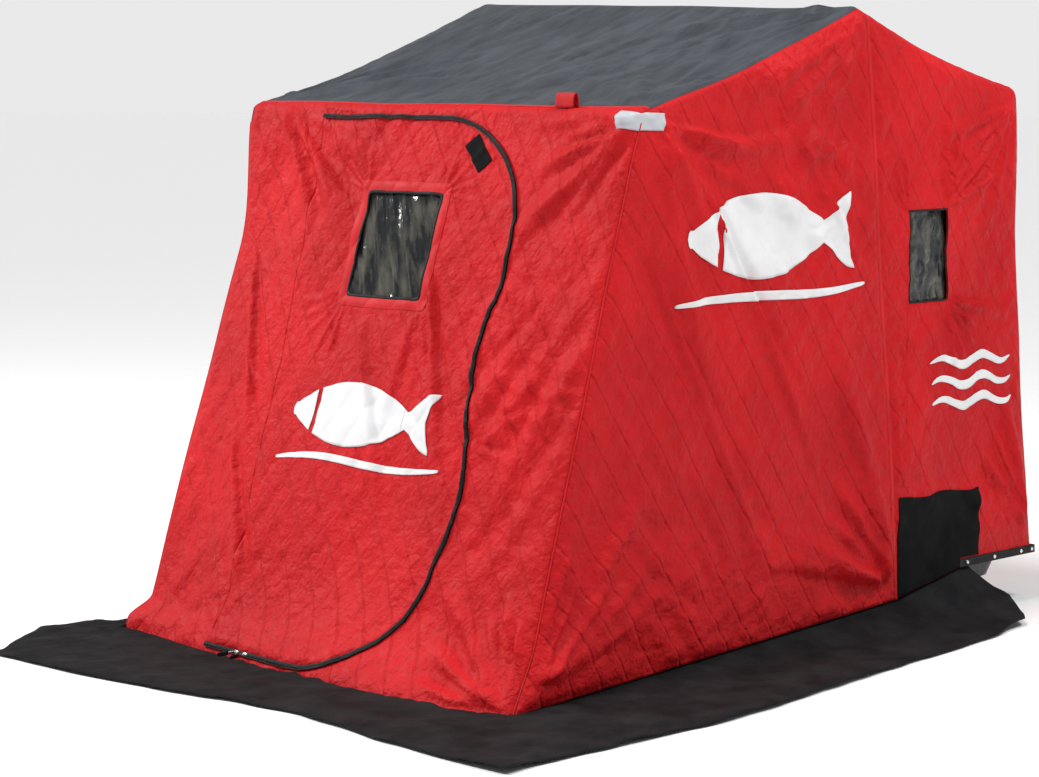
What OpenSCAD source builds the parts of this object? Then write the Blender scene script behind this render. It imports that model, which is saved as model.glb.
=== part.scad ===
// A flip-over ice fishing hut, set up on the ice: a quilted cloth cabin over four hinged
// bows, fixed at the back to the lip of a shallow plastic sled, with a zipped door flap.
// The front faces -Y and +Z is up. Heights are above the ice, and "back" distances run
// from the foot of the front wall. The origin is the middle of the footprint, on the ice.

/* [Cabin] */
// Width across the side walls at the ice
cabin_w = 1470; // [1220:2:1780]
// Lean of each side wall towards the middle, in degrees
side_lean = 1.6; // [0.5:0.1:3]
// Height of the front eave
eave_h = 1390; // [1200:10:1480]
// Front eave behind the foot of the front wall
eave_back = 446; // [350:1:540]
// Height of the ridge
ridge_h = 1650; // [1560:10:1990]
// Ridge behind the foot of the front wall
ridge_back = 1310; // [1090:10:1420]
// Height of the rear eave
rear_eave_h = 1438; // [1250:1:1500]
// Rear eave behind the foot of the front wall
rear_eave_back = 2034; // [1900:2:2080]
// Outer edge of the rear wall at the sled's lip, behind the foot of the front wall
lip_back = 2100; // [1960:10:2520]
// Thickness of the quilted cloth
cloth_t = 8; // [5:1:10]

/* [Door] */
// Top of the doorway, measured up the front wall
door_top = 1432; // [1150:1:1440]
// Bottom of the doorway, measured up the front wall
door_bottom = 20; // [16:1:60]
// Right edge of the doorway from the middle
door_right = 368; // [300:1:460]
// Left (sewn) edge of the door from the middle, at the top
hinge_top = 402; // [320:1:440]
// Left (sewn) edge of the door from the middle, at the bottom
hinge_bottom = 342; // [280:1:400]
// Radius of the doorway's upper corner
door_r_top = 300; // [200:5:330]
// Radius of the doorway's lower corner
door_r_bottom = 310; // [200:5:330]
// Width of one half of the zip
zip_w = 4.5; // [3:0.5:6]
// Free gap between the halves of the zip
zip_gap = 5.2; // [5:0.1:8]
// Radius of the corded welt along the door's sewn edge
welt_r = 3.5; // [2:0.25:4.5]

/* [Windows] */
// Width of the door window
door_window_w = 272; // [200:2:330]
// Height of the door window
door_window_h = 278; // [200:2:340]
// Middle of the door window, left of the cabin's middle
door_window_left = 36; // [0:2:60]
// Bottom of the door window, measured up the front wall
door_window_up = 955; // [800:5:1000]
// Width of a side window
side_window_w = 166; // [120:2:220]
// Height of a side window
side_window_h = 242; // [180:2:300]
// Front edge of a side window in front of the rear wall's lower edge
side_window_fwd = 584; // [440:2:590]
// Bottom of a side window above the ice
side_window_up = 870; // [800:5:1000]
// Thickness of the clear sheet
pane_t = 1.2; // [1:0.1:2]

/* [Sled] */
// Height of the sled's lip above the ice
lip_h = 150; // [120:5:220]
// Depth of the sled, front lip to rear lip
sled_d = 755; // [620:5:910]
// Width of the flat lip
lip_w = 45; // [38:1:60]
// Drop of the lip's turned-down rim
rim_h = 20; // [12:1:30]
// Wall thickness of the sled
sled_t = 5; // [4:0.5:8]
// How far the tub's bottom lies inside the top of its walls
draft_in = 150; // [110:5:190]
// How far the tub's walls slope in down to the turn of the bilge
bilge_in = 22; // [8:2:40]
// Height of the turn of the bilge
bilge_h = 72; // [50:2:90]
// Height of the runners under the tub
runner_h = 8; // [5:1:14]

/* [Frame] */
// Diameter of the cross bars and upper legs
tube_d = 22; // [16:1:28]
// Diameter of the lower legs
leg_d = 28; // [22:1:34]
// Pivot in front of the rear lip
pivot_fwd = 458; // [400:5:520]
// Pivot above the lip
pivot_up = 68; // [60:2:90]
// Gap between neighbouring legs at the hub
leg_gap = 2; // [0.5:0.5:4]

/* [Skirt] */
// Reach of the skirt in front of the front wall
skirt_front_w = 443; // [300:1:560]
// Reach of the skirt beside the side walls
skirt_side_w = 370; // [250:1:480]
// Thickness of the skirt
skirt_t = 3; // [2:0.5:5]
// Height of the side hem at the seam between the side wall's panels
hem_seam_h = 80; // [20:5:110]

/* [Hidden] */

RED = [0.80, 0.06, 0.07];
BLACK = [0.07, 0.07, 0.07];
ROOF_GREY = [0.20, 0.22, 0.24];
REFLECT = [0.78, 0.80, 0.82];
CLEAR = [0.55, 0.57, 0.60, 0.4];
STEEL = [0.45, 0.46, 0.48];

seat = 0.3;         // running gap where one piece seats on another
seam_gap = 0.1;     // gap between cloths sewn edge to edge or face to face
front_lean = atan(eave_back / eave_h);
half_w = cabin_w / 2;
tube_r = tube_d / 2;
leg_r = leg_d / 2;
lip_low = lip_h - rim_h + 2;     // lower edge of the cloth where the lip carries it
reach = 3000;                    // longer than any cut needs
arc_steps = 8;                   // straight pieces in a quarter of a doorway corner

// ---- planes: [unit normal pointing out, distance from the origin] ----

function unit(v) = v / norm(v);
function plane(n, p) = [unit(n), unit(n) * p];
function inward(pl, d) = [pl[0], pl[1] - d];
function meet(a, b, c) =
    let (det = a[0] * cross(b[0], c[0]))
    (a[1] * cross(b[0], c[0]) + b[1] * cross(c[0], a[0]) + c[1] * cross(a[0], b[0])) / det;

RIGHT = plane([cos(side_lean), 0, sin(side_lean)], [half_w, 0, 0]);
LEFT = plane([-cos(side_lean), 0, sin(side_lean)], [-half_w, 0, 0]);
FRONT = plane([0, -eave_h, eave_back], [0, 0, 0]);
ROOF_F = plane([0, eave_h - ridge_h, ridge_back - eave_back], [0, ridge_back, ridge_h]);
ROOF_R = plane([0, ridge_h - rear_eave_h, rear_eave_back - ridge_back], [0, ridge_back, ridge_h]);
REAR = plane([0, rear_eave_h - lip_h, lip_back - rear_eave_back], [0, lip_back, lip_h]);
MIDDLE = [[1, 0, 0], 0];
function level(z) = [[0, 0, 1], z];
function across(y) = [[0, 1, 0], y];
function sideways(x) = [[1, 0, 0], x];

// ---- the seam and the hem of a side wall ----

seam_top_back = ridge_back + 34;
seam_foot_back = lip_back - 646;
hem_lip_back = lip_back - 360;   // where the hem reaches the sled's lip
SEAM = plane([0, ridge_h - hem_seam_h, seam_foot_back - seam_top_back],
    [0, seam_foot_back, hem_seam_h]);
HEM_MAIN = plane([0, hem_seam_h - skirt_t, -seam_foot_back], [0, 0, skirt_t]);
HEM_REAR = plane([0, lip_low - hem_seam_h, seam_foot_back - hem_lip_back],
    [0, seam_foot_back, hem_seam_h]);
function hem(y) = y < seam_foot_back
    ? skirt_t + (hem_seam_h - skirt_t) * max(0, y) / seam_foot_back
    : min(lip_low, hem_seam_h
        + (lip_low - hem_seam_h) * (y - seam_foot_back) / (hem_lip_back - seam_foot_back));

// ---- a slab between an outer and an inner face, its edges mitred to its neighbours ----

// Each edge is [plane at the outer face, plane at the inner face], anticlockwise from outside.
function butt(pl) = [pl, pl];
function mitre(pl, t) = [pl, inward(pl, t)];
module slab(outer, inner, edges) {
    n = len(edges);
    top = [for (i = [0 : n - 1]) meet(outer, edges[i][0], edges[(i + 1) % n][0])];
    low = [for (i = [0 : n - 1]) meet(inner, edges[i][1], edges[(i + 1) % n][1])];
    polyhedron(
        points = concat(top, low),
        faces = concat(
            [[for (i = [n - 1 : -1 : 0]) i], [for (i = [0 : n - 1]) n + i]],
            [for (i = [0 : n - 1]) [i, (i + 1) % n, n + (i + 1) % n, n + i]]));
}
module wall(face, edges) slab(face, inward(face, cloth_t), edges);
function sewn(pl) = inward(pl, seam_gap);
function joined(pl) = mitre(sewn(pl), cloth_t);
// A flat trim of thickness t sewn on a face
module sewn_on(face, t, edges) slab(inward(face, -seam_gap - t), inward(face, -seam_gap), edges);
function folded(pl, t) = [inward(pl, -seam_gap - t), inward(pl, -seam_gap)];

// ---- placing: on_front has x right, y up the front wall and z out of it ----

module on_front() rotate([90 - front_lean, 0, 0]) children();
// on_side has x towards the back, y up the right wall and z out of it
module on_side() translate([half_w, 0, 0]) rotate([0, -side_lean, 0]) rotate([90, 0, 90]) children();
function up_side(z) = z / cos(side_lean);
module mirrored() mirror([1, 0, 0]) children();
module both_sides() {
    children();
    mirrored() children();
}

skirt_out_x = half_w + skirt_side_w;
trim_t = 4;             // thickness of the strip riveted over the lip
rear_out_y = meet(inward(REAR, -seam_gap - trim_t), level(lip_low), MIDDLE)[1];
mid_y = (rear_out_y - skirt_front_w) / 2;
module placed() translate([0, -mid_y, 0]) children();

// ---- the doorway, as an outline on the front wall ----

function hinge_u(v) = -hinge_bottom
    - (hinge_top - hinge_bottom) * (v - door_bottom) / (door_top - door_bottom);
function turn(c, r, from, to) =
    [for (i = [0 : arc_steps]) let (a = from + (to - from) * i / arc_steps)
        c + r * [cos(a), sin(a)]];
// The doorway's edge moved inwards by d, with the sewn edge moved right by h.
function door_line(d, h) = concat(
    [[hinge_u(door_top - d) + h, door_top - d]],
    turn([door_right - door_r_top, door_top - door_r_top], door_r_top - d, 90, 0),
    turn([door_right - door_r_bottom, door_bottom + door_r_bottom], door_r_bottom - d, 0, -90),
    [[hinge_u(door_bottom + d) + h, door_bottom + d]]);
function backwards(l) = [for (i = [len(l) - 1 : -1 : 0]) l[i]];

hinge_in = welt_r + seat;       // door's cloth held back from the welt's middle line
door_in = 2 * zip_w + zip_gap;  // door's cloth held back from the doorway elsewhere
zip_t = 3;
module through_front(points, margin = 2) on_front()
    translate([0, 0, -cloth_t - margin]) linear_extrude(cloth_t + 2 * margin) polygon(points);
module doorway() through_front(door_line(0, 0));
module zip_half(near, far, h) on_front()
    translate([0, 0, -(cloth_t + zip_t) / 2])
        linear_extrude(zip_t) polygon(concat(door_line(near, h), backwards(door_line(far, h))));

// ---- walls ----

module front_slab() wall(FRONT,
    [butt(level(skirt_t)), joined(RIGHT), joined(ROOF_F), joined(LEFT)]);
hinge_cut = [[hinge_u(-reach), -reach], [hinge_u(reach), reach]];
welt_foot = [hinge_u(door_bottom + door_in), door_bottom + door_in];
welt_head = [hinge_u(door_top - door_in), door_top - door_in];
module welt() on_front() translate([welt_foot[0], welt_foot[1], 0])
    rotate([0, 0, atan2(welt_head[1] - welt_foot[1], welt_head[0] - welt_foot[0])])
        rotate([0, 90, 0]) cylinder(r = welt_r, h = norm(welt_head - welt_foot), $fn = 32);
module front_wall_left() color(RED) {
    intersection() {
        front_slab();
        through_front(concat(hinge_cut, [[-reach, reach], [-reach, -reach]]));
    }
    welt();
}
module front_wall_right() color(RED) intersection() {
    front_slab();
    through_front([[door_right, -reach], [reach, -reach], [reach, reach], [door_right, reach]]);
}
module front_wall_middle() difference() {
    intersection() {
        front_slab();
        through_front(concat(backwards(hinge_cut), [[door_right, -reach], [door_right, reach]]));
    }
    doorway();
}
door_mid_v = (door_top + door_bottom) / 2;
module front_wall_head() color(RED) intersection() {
    front_wall_middle();
    through_front([[-reach, door_mid_v], [reach, door_mid_v], [reach, reach], [-reach, reach]]);
}
module front_wall_sill() color(RED) intersection() {
    front_wall_middle();
    through_front([[-reach, -reach], [reach, -reach], [reach, door_mid_v], [-reach, door_mid_v]]);
}

module right_wall_main() color(RED) wall(RIGHT,
    [butt(HEM_MAIN), butt(sewn(SEAM)), joined(ROOF_R), joined(ROOF_F), joined(FRONT)]);

// The side window's outline drawn in by inset, from low to high through the wall
module side_opening(inset, low, high) on_side()
    translate([lip_back - side_window_fwd + inset, up_side(side_window_up) + inset, low])
        cube([side_window_w - 2 * inset, side_window_h - 2 * inset, high - low]);
module right_wall_rear() color(RED) difference() {
    wall(RIGHT, [butt(level(lip_low)), joined(REAR), joined(ROOF_R),
        butt(sewn([-SEAM[0], -SEAM[1]])), butt(HEM_REAR)]);
    side_opening(0, -2 * cloth_t, cloth_t);
}
module rear_wall() color(RED) wall(REAR,
    [butt(level(lip_low)), joined(LEFT), joined(ROOF_R), joined(RIGHT)]);
module roof_front() color(ROOF_GREY) wall(ROOF_F,
    [joined(FRONT), joined(RIGHT), joined(ROOF_R), joined(LEFT)]);
module roof_rear() color(RED) wall(ROOF_R,
    [joined(ROOF_F), joined(RIGHT), joined(REAR), joined(LEFT)]);

module side_pane() color(CLEAR) side_opening(seat, -(cloth_t + pane_t) / 2, -(cloth_t - pane_t) / 2);

// ---- trim on the walls ----

patch_t = 2;
patch_top_h = 348;
patch_back_end = lip_back - 268;
module side_patch() color(BLACK) intersection() {
    sewn_on(RIGHT, patch_t, [butt(level(hem_seam_h)),
        butt(across(patch_back_end)), butt(level(patch_top_h)), butt([[0, -1, 0], -seam_foot_back])]);
    on_side() translate([0, 0, -cloth_t]) linear_extrude(3 * cloth_t) polygon([
        [seam_foot_back, up_side(hem_seam_h)], [hem_lip_back - 1, up_side(lip_low)],
        [hem_lip_back - 1, up_side(lip_h + trim_over + 1)],
        [reach, up_side(lip_h + trim_over + 1)],
        [reach, reach], [seam_foot_back, reach]]);
}

trim_over = 4;          // strip's upper edge above the lip
module lip_trim() color(BLACK) {
    both_sides() sewn_on(RIGHT, trim_t, [butt(level(lip_low)), folded(REAR, trim_t),
        butt(level(lip_h + trim_over)), butt([[0, -1, 0], -hem_lip_back])]);
    sewn_on(REAR, trim_t, [butt(level(lip_low)), folded(LEFT, trim_t),
        butt(level(lip_h + trim_over)), folded(RIGHT, trim_t)]);
}

reflect_t = 1.5;
reflect_h = 44;
reflect_drop = 6;       // below the eave
reflect_front_w = 62;
reflect_side_w = 76;
module reflector() color(REFLECT) {
    corner = meet(FRONT, RIGHT, level(eave_h));
    top = level(eave_h - reflect_drop);
    low = level(eave_h - reflect_drop - reflect_h);
    sewn_on(FRONT, reflect_t, [butt(low), folded(RIGHT, reflect_t), butt(top),
        butt([[-1, 0, 0], reflect_front_w - corner[0]])]);
    sewn_on(RIGHT, reflect_t, [butt(low), butt(across(corner[1] + reflect_side_w)), butt(top),
        folded(FRONT, reflect_t)]);
}

loop_w = 62;
loop_h = 34;
loop_t = 4;
loop_x = 445;
module eave_loop() color(RED) slab(FRONT, inward(FRONT, loop_t),
    [butt(sewn([-ROOF_F[0], -ROOF_F[1]])), butt(sideways(loop_x + loop_w / 2)),
        butt(level(eave_h + loop_h)), butt([[-1, 0, 0], loop_w / 2 - loop_x])]);

// ---- door ----

module door_flap() color(RED) difference() {
    on_front() translate([0, 0, -cloth_t]) linear_extrude(cloth_t)
        polygon(door_line(door_in, hinge_in));
    on_front() translate([-door_window_left, door_window_up + door_window_h / 2, -cloth_t / 2])
        cube([door_window_w, door_window_h, 3 * cloth_t], center = true);
}
module door_window_pane() color(CLEAR) on_front()
    translate([-door_window_left, door_window_up + door_window_h / 2, -cloth_t / 2])
        cube([door_window_w - 2 * seat, door_window_h - 2 * seat, pane_t], center = true);
tab_l = 92;
tab_w = 50;
tab_t = 3;
tab_in = 178;           // its middle inside the doorway's right edge
tab_down = 92;          // its middle below the doorway's top
tab_turn = -47;
module door_tab() color(BLACK) on_front()
    translate([door_right - tab_in, door_top - tab_down, tab_t / 2]) rotate([0, 0, tab_turn])
        cube([tab_l, tab_w, tab_t], center = true);

// Two sliders rest side by side on the door's lower corner, their pulls sloping down in front.
slider_w = 14;
slider_l = 16;
slider_h = 7;
slider_pitch = 17;
pull_w = 8;
pull_l = 44;
pull_t = 2.5;
pull_slope = 30;        // below level
module zip_pull() {
    cube([slider_w, slider_l, slider_h]);
    translate([(slider_w - pull_w) / 2, slider_l / 2, slider_h])
        rotate([90 + front_lean + pull_slope, 0, 0]) cube([pull_w, pull_l, pull_t]);
}
module zip_pulls() color(STEEL) on_front() for (i = [0, 1])
    translate([hinge_u(door_bottom) + hinge_in + 12 + i * slider_pitch, door_bottom + door_in, 0])
        zip_pull();

// ---- skirt ----

// Reach beside the wall: full at the front, drawn in towards the sled.
function right_reach(y) = skirt_side_w * (1 - 0.45 * pow(max(0, y) / hem_lip_back, 2));
// The left skirt is tucked in at the front corner and opens out towards the back.
function ease(s) = s * s * (3 - 2 * s);
function left_reach(y) = 20 + (skirt_side_w - 20) * ease(min(1, max(0, y) / 1000))
    * (y > 1000 ? 1 - 0.45 * pow((y - 1000) / (hem_lip_back - 1000), 2) : 1);
skirt_end_back = hem_lip_back + 55;
hem_in_x = half_w - cloth_t;
function hem_point(y) = let (z = hem(y) - seat) [half_w - z * tan(side_lean) - cloth_t, y, z];
stations_main = 10;
stations_rear = 2;
function stops(from, to, n) = [for (i = [1 : n]) from + (to - from) * i / n];
skirt_ys = concat(stops(cloth_t, seam_foot_back, stations_main),
    stops(seam_foot_back, hem_lip_back, stations_rear));

// A sheet between a line of points under the wall and a line of points on the ice.
module skirt_sheet(inner, outer) {
    n = len(inner);
    drop = [0, 0, -skirt_t];
    points = concat(inner, outer, [for (p = outer) p + drop], [for (p = inner) p + drop]);
    polyhedron(points = points, faces = concat(
        [for (i = [0 : n - 2]) each [
            [i, n + i + 1, n + i], [i, i + 1, n + i + 1],
            [n + i, n + i + 1, 2 * n + i + 1], [n + i, 2 * n + i + 1, 2 * n + i],
            [3 * n + i, 2 * n + i, 2 * n + i + 1], [3 * n + i, 2 * n + i + 1, 3 * n + i + 1],
            [3 * n + i, 3 * n + i + 1, i + 1], [3 * n + i, i + 1, i]]],
        [[0, n, 2 * n], [0, 2 * n, 3 * n],
            [n - 1, 3 * n - 1, 2 * n - 1], [n - 1, 4 * n - 1, 3 * n - 1]]));
}
corner_in = [hem_in_x, cloth_t, skirt_t];
module skirt_right() color(BLACK) skirt_sheet(
    concat([corner_in], [for (y = skirt_ys) hem_point(y)], [hem_point(skirt_end_back)]),
    concat([[skirt_out_x, -skirt_front_w, skirt_t]],
        [for (y = skirt_ys) [half_w + right_reach(y), y, skirt_t]],
        [[half_w + 85, skirt_end_back + 62, skirt_t]]));
module skirt_left() color(BLACK) mirrored() skirt_sheet(
    concat([corner_in], [for (y = skirt_ys) hem_point(y)], [hem_point(skirt_end_back)]),
    concat([[half_w + 20, cloth_t, skirt_t]],
        [for (y = skirt_ys) [half_w + left_reach(y), y, skirt_t]],
        [[half_w + 85, skirt_end_back + 62, skirt_t]]));
module skirt_front() color(BLACK) linear_extrude(skirt_t) polygon([
    [hem_in_x, cloth_t], [-hem_in_x, cloth_t],
    [-half_w - 165, -130], [-half_w - 10, -skirt_front_w + 45], [-half_w + 175, -skirt_front_w],
    [skirt_out_x, -skirt_front_w]]);

// ---- frame ----

function bar_offset(pl) = inward(pl, cloth_t + seat + tube_r);
ground_at = meet(bar_offset(FRONT), level(tube_r), MIDDLE);
front_at = meet(bar_offset(FRONT), bar_offset(ROOF_F), MIDDLE);
ridge_at = meet(bar_offset(ROOF_F), bar_offset(ROOF_R), MIDDLE);
rear_at = meet(bar_offset(ROOF_R), bar_offset(REAR), MIDDLE);
hub_at = [0, lip_back - pivot_fwd, lip_h + pivot_up];
leg_in = cloth_t + seat + leg_r;    // leg's middle line inside the wall's outer face
lower_share = 0.55;                 // share of a leg that is the wider tube

// A point of the legs' plane, as its place towards the back and up the side wall
function on_wall(p) = [p[1], (p[2] + leg_in * sin(side_lean)) / cos(side_lean)];
function leg_run(at) = on_wall(at) - on_wall(hub_at);
function leg_angle(at) = let (d = leg_run(at)) atan2(d[1], d[0]);
hub_angle = min(leg_angle(front_at) - leg_angle(ridge_at),
    leg_angle(ridge_at) - leg_angle(rear_at));
hub_r = (leg_r + leg_gap / 2) / sin(hub_angle / 2);
module at_hub() on_side() translate([on_wall(hub_at)[0], on_wall(hub_at)[1], -leg_in]) children();
module bow_legs(at) color(STEEL) both_sides() at_hub()
    rotate([0, 0, leg_angle(at)]) rotate([0, 90, 0]) {
        foot = hub_r + seat;
        head = norm(leg_run(at)) - tube_r - seat;
        split = foot + (head - foot) * lower_share;
        translate([0, 0, foot]) cylinder(r = leg_r, h = split - foot, $fn = 48);
        translate([0, 0, foot]) cylinder(r = tube_r, h = head - foot, $fn = 48);
    }
function bar_half(at) = half_w - at[2] * tan(side_lean) - leg_in / cos(side_lean);
module bow_bar(at) color(STEEL) translate([0, at[1], at[2]]) {
    rotate([0, 90, 0]) cylinder(r = tube_r, h = 2 * bar_half(at), center = true, $fn = 48);
    both_sides() translate([bar_half(at), 0, 0]) sphere(r = tube_r, $fn = 48);
}
plate_w = 84;
module pivot_brackets() color(BLACK) both_sides() difference() {
    at_hub() translate([0, 0, -leg_r]) {
        cylinder(r = hub_r, h = leg_d, $fn = 64);
        translate([-plate_w / 2, -pivot_up - seat - leg_r, 0])
            cube([plate_w, pivot_up + seat + leg_r, leg_d]);
    }
    translate([0, hub_at[1] - hub_r, lip_h + seat - hub_r]) cube([cabin_w, 2 * hub_r, hub_r]);
}

// ---- sled ----

lip_x = meet(inward(RIGHT, cloth_t + seat), across(0), level(lip_h))[0];
lip_rear_y = meet(inward(REAR, cloth_t + seat), level(lip_h), MIDDLE)[1];
lip_front_y = lip_rear_y - sled_d;
sled_mid_y = (lip_rear_y + lip_front_y) / 2;
flange_t = 5;
// A level sheet with round corners, the sled's outline drawn in by inset.
module rounded_sheet(inset, r, z, h) translate([0, sled_mid_y, z]) linear_extrude(h) {
    hx = lip_x - inset;
    hy = sled_d / 2 - inset;
    square([2 * (hx - r), 2 * hy], center = true);
    square([2 * hx, 2 * (hy - r)], center = true);
    for (sx = [-1, 1], sy = [-1, 1]) translate([sx * (hx - r), sy * (hy - r)]) circle(r, $fn = 32);
}
rim_r = 14;
tub_r = 60;
module tub(wall_t) hull() {
    rounded_sheet(lip_w + wall_t, tub_r - wall_t, lip_h - flange_t, 1);
    rounded_sheet(lip_w + bilge_in + wall_t, tub_r - wall_t, bilge_h, 1);
    rounded_sheet(lip_w + draft_in + wall_t, tub_r - wall_t, runner_h + wall_t, 1);
}
runner_w = 46;
runner_pitch = 150;
runner_l = 2 * (lip_x - lip_w - draft_in - tub_r);
module sled() color(BLACK) difference() {
    union() {
        rounded_sheet(0, rim_r, lip_h - flange_t, flange_t);
        difference() {
            rounded_sheet(0, rim_r, lip_h - rim_h, rim_h);
            rounded_sheet(sled_t, rim_r - sled_t, lip_h - rim_h - 1, rim_h);
        }
        tub(0);
        for (k = [-1, 0, 1]) translate([0, sled_mid_y + k * runner_pitch, (runner_h + sled_t) / 2])
            cube([runner_l, runner_w, runner_h + sled_t], center = true);
    }
    tub(sled_t);
    rounded_sheet(lip_w + sled_t, tub_r - sled_t, lip_h - flange_t, 2 * flange_t);
}

// ---- nodes ----

placed() {
    sled();
    lip_trim();
    pivot_brackets();
    bow_bar(ground_at);  // ground_bow_bar
    bow_legs(ground_at);  // ground_bow_legs
    bow_bar(front_at);  // front_bow_bar
    bow_legs(front_at);  // front_bow_legs
    bow_bar(ridge_at);  // ridge_bow_bar
    bow_legs(ridge_at);  // ridge_bow_legs
    bow_bar(rear_at);  // rear_bow_bar
    bow_legs(rear_at);  // rear_bow_legs
    front_wall_left();
    front_wall_right();
    front_wall_head();
    front_wall_sill();
    right_wall_main();
    right_wall_rear();
    mirrored() right_wall_main();  // left_wall_main
    mirrored() right_wall_rear();  // left_wall_rear
    rear_wall();
    roof_front();
    roof_rear();
    side_pane();  // right_window_pane
    mirrored() side_pane();  // left_window_pane
    side_patch();  // right_patch
    mirrored() side_patch();  // left_patch
    reflector();  // right_reflector
    mirrored() reflector();  // left_reflector
    eave_loop();
    skirt_front();
    skirt_right();
    skirt_left();
    color(BLACK) zip_half(0, zip_w, 0);  // frame_zip
    door_flap();
    door_window_pane();
    color(BLACK) zip_half(zip_w + zip_gap, door_in, hinge_in);  // door_zip
    door_tab();
    zip_pulls();
}
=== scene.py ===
"""A flip-over ice fishing hut: its cloth, zips, windows, sled and skirt as they look."""

import logging
import math
from dataclasses import dataclass, field
from enum import Enum

import bpy
import numpy as np
from mathutils import Matrix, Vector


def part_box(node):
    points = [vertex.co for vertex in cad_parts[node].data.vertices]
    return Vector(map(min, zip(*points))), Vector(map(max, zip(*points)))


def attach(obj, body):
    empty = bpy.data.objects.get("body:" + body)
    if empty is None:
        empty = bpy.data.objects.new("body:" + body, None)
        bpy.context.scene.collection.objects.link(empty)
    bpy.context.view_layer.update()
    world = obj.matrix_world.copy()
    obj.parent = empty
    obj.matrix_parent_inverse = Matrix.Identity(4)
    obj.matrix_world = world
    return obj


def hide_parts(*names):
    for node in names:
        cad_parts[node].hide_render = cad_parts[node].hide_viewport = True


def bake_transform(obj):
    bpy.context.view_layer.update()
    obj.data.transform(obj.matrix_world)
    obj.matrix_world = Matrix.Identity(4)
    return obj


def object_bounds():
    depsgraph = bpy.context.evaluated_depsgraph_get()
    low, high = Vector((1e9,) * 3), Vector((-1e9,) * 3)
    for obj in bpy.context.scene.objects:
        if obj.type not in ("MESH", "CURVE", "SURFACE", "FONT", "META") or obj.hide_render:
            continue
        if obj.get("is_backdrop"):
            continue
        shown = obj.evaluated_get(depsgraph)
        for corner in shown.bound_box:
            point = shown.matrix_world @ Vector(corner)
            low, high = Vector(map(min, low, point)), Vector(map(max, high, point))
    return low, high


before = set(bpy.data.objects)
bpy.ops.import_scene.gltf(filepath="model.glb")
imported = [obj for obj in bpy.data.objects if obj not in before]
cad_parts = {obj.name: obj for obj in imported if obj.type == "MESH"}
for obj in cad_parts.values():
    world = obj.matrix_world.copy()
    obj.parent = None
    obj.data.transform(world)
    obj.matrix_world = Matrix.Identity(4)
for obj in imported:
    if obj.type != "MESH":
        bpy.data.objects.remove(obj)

Array = np.ndarray
log = logging.getLogger("hut")
CAD_BOX = [list(corner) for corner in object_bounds()]


# ---- small tools ----


def ease(x: Array | float, low: float, high: float) -> Array:
    """A smooth step from 0 at low to 1 at high: 3t squared less 2t cubed.

    Args:
        x: the values.
        low: where the step starts.
        high: where it ends.

    Returns:
        The step's height for each value.
    """
    t = np.clip((np.asarray(x, float) - low) / (high - low), 0, 1)
    return t * t * (3 - 2 * t)


def hump(x: Array, width: Array | float) -> Array:
    """A bell, e to the minus (x / width) squared."""
    return np.exp(-((x / width) ** 2))


def lengths(line: Array) -> Array:
    """Distance along a line at each of its points.

    Args:
        line: the points, one a row.

    Returns:
        The running length, from 0.
    """
    return np.concatenate([[0.0], np.cumsum(np.linalg.norm(np.diff(line, axis=0), axis=1))])


def spaced(line: Array, n: int) -> Array:
    """The same line with n points at equal steps of its length.

    Args:
        line: the points, one a row.
        n: how many points to return.

    Returns:
        The new points.
    """
    run = lengths(line)
    at = np.linspace(0, run[-1], n)
    return np.stack([np.interp(at, run, line[:, k]) for k in range(line.shape[1])], 1)


def coons(bottom: Array, right: Array, top: Array, left: Array) -> Array:
    """A patch between four edges: the two ruled surfaces added, less the bilinear one.

    Args:
        bottom: n points, left to right.
        right: m points, going up.
        top: n points, left to right.
        left: m points, going up.

    Returns:
        The n by m grid of points.
    """
    s = np.linspace(0, 1, len(bottom))[:, None, None]
    t = np.linspace(0, 1, len(left))[None, :, None]
    ruled = (1 - t) * bottom[:, None] + t * top[:, None] + (1 - s) * left[None] + s * right[None]
    start, end = ((1 - t) * bottom[k] + t * top[k] for k in (0, -1))
    return ruled - (1 - s) * start - s * end


def ring(inner: Array, outer: Array, steps: int) -> Array:
    """The band between two closed loops: straight lines between points of the same number.

    Args:
        inner: the inner loop's points.
        outer: the outer loop's points, as many.
        steps: how many cells lie across the band.

    Returns:
        A grid, round the loop by across the band, with its first row repeated at the end.
    """
    t = np.linspace(0, 1, steps + 1)[None, :, None]
    band = (1 - t) * inner[:, None] + t * outer[:, None]
    return np.concatenate([band, band[:1]])


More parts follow.
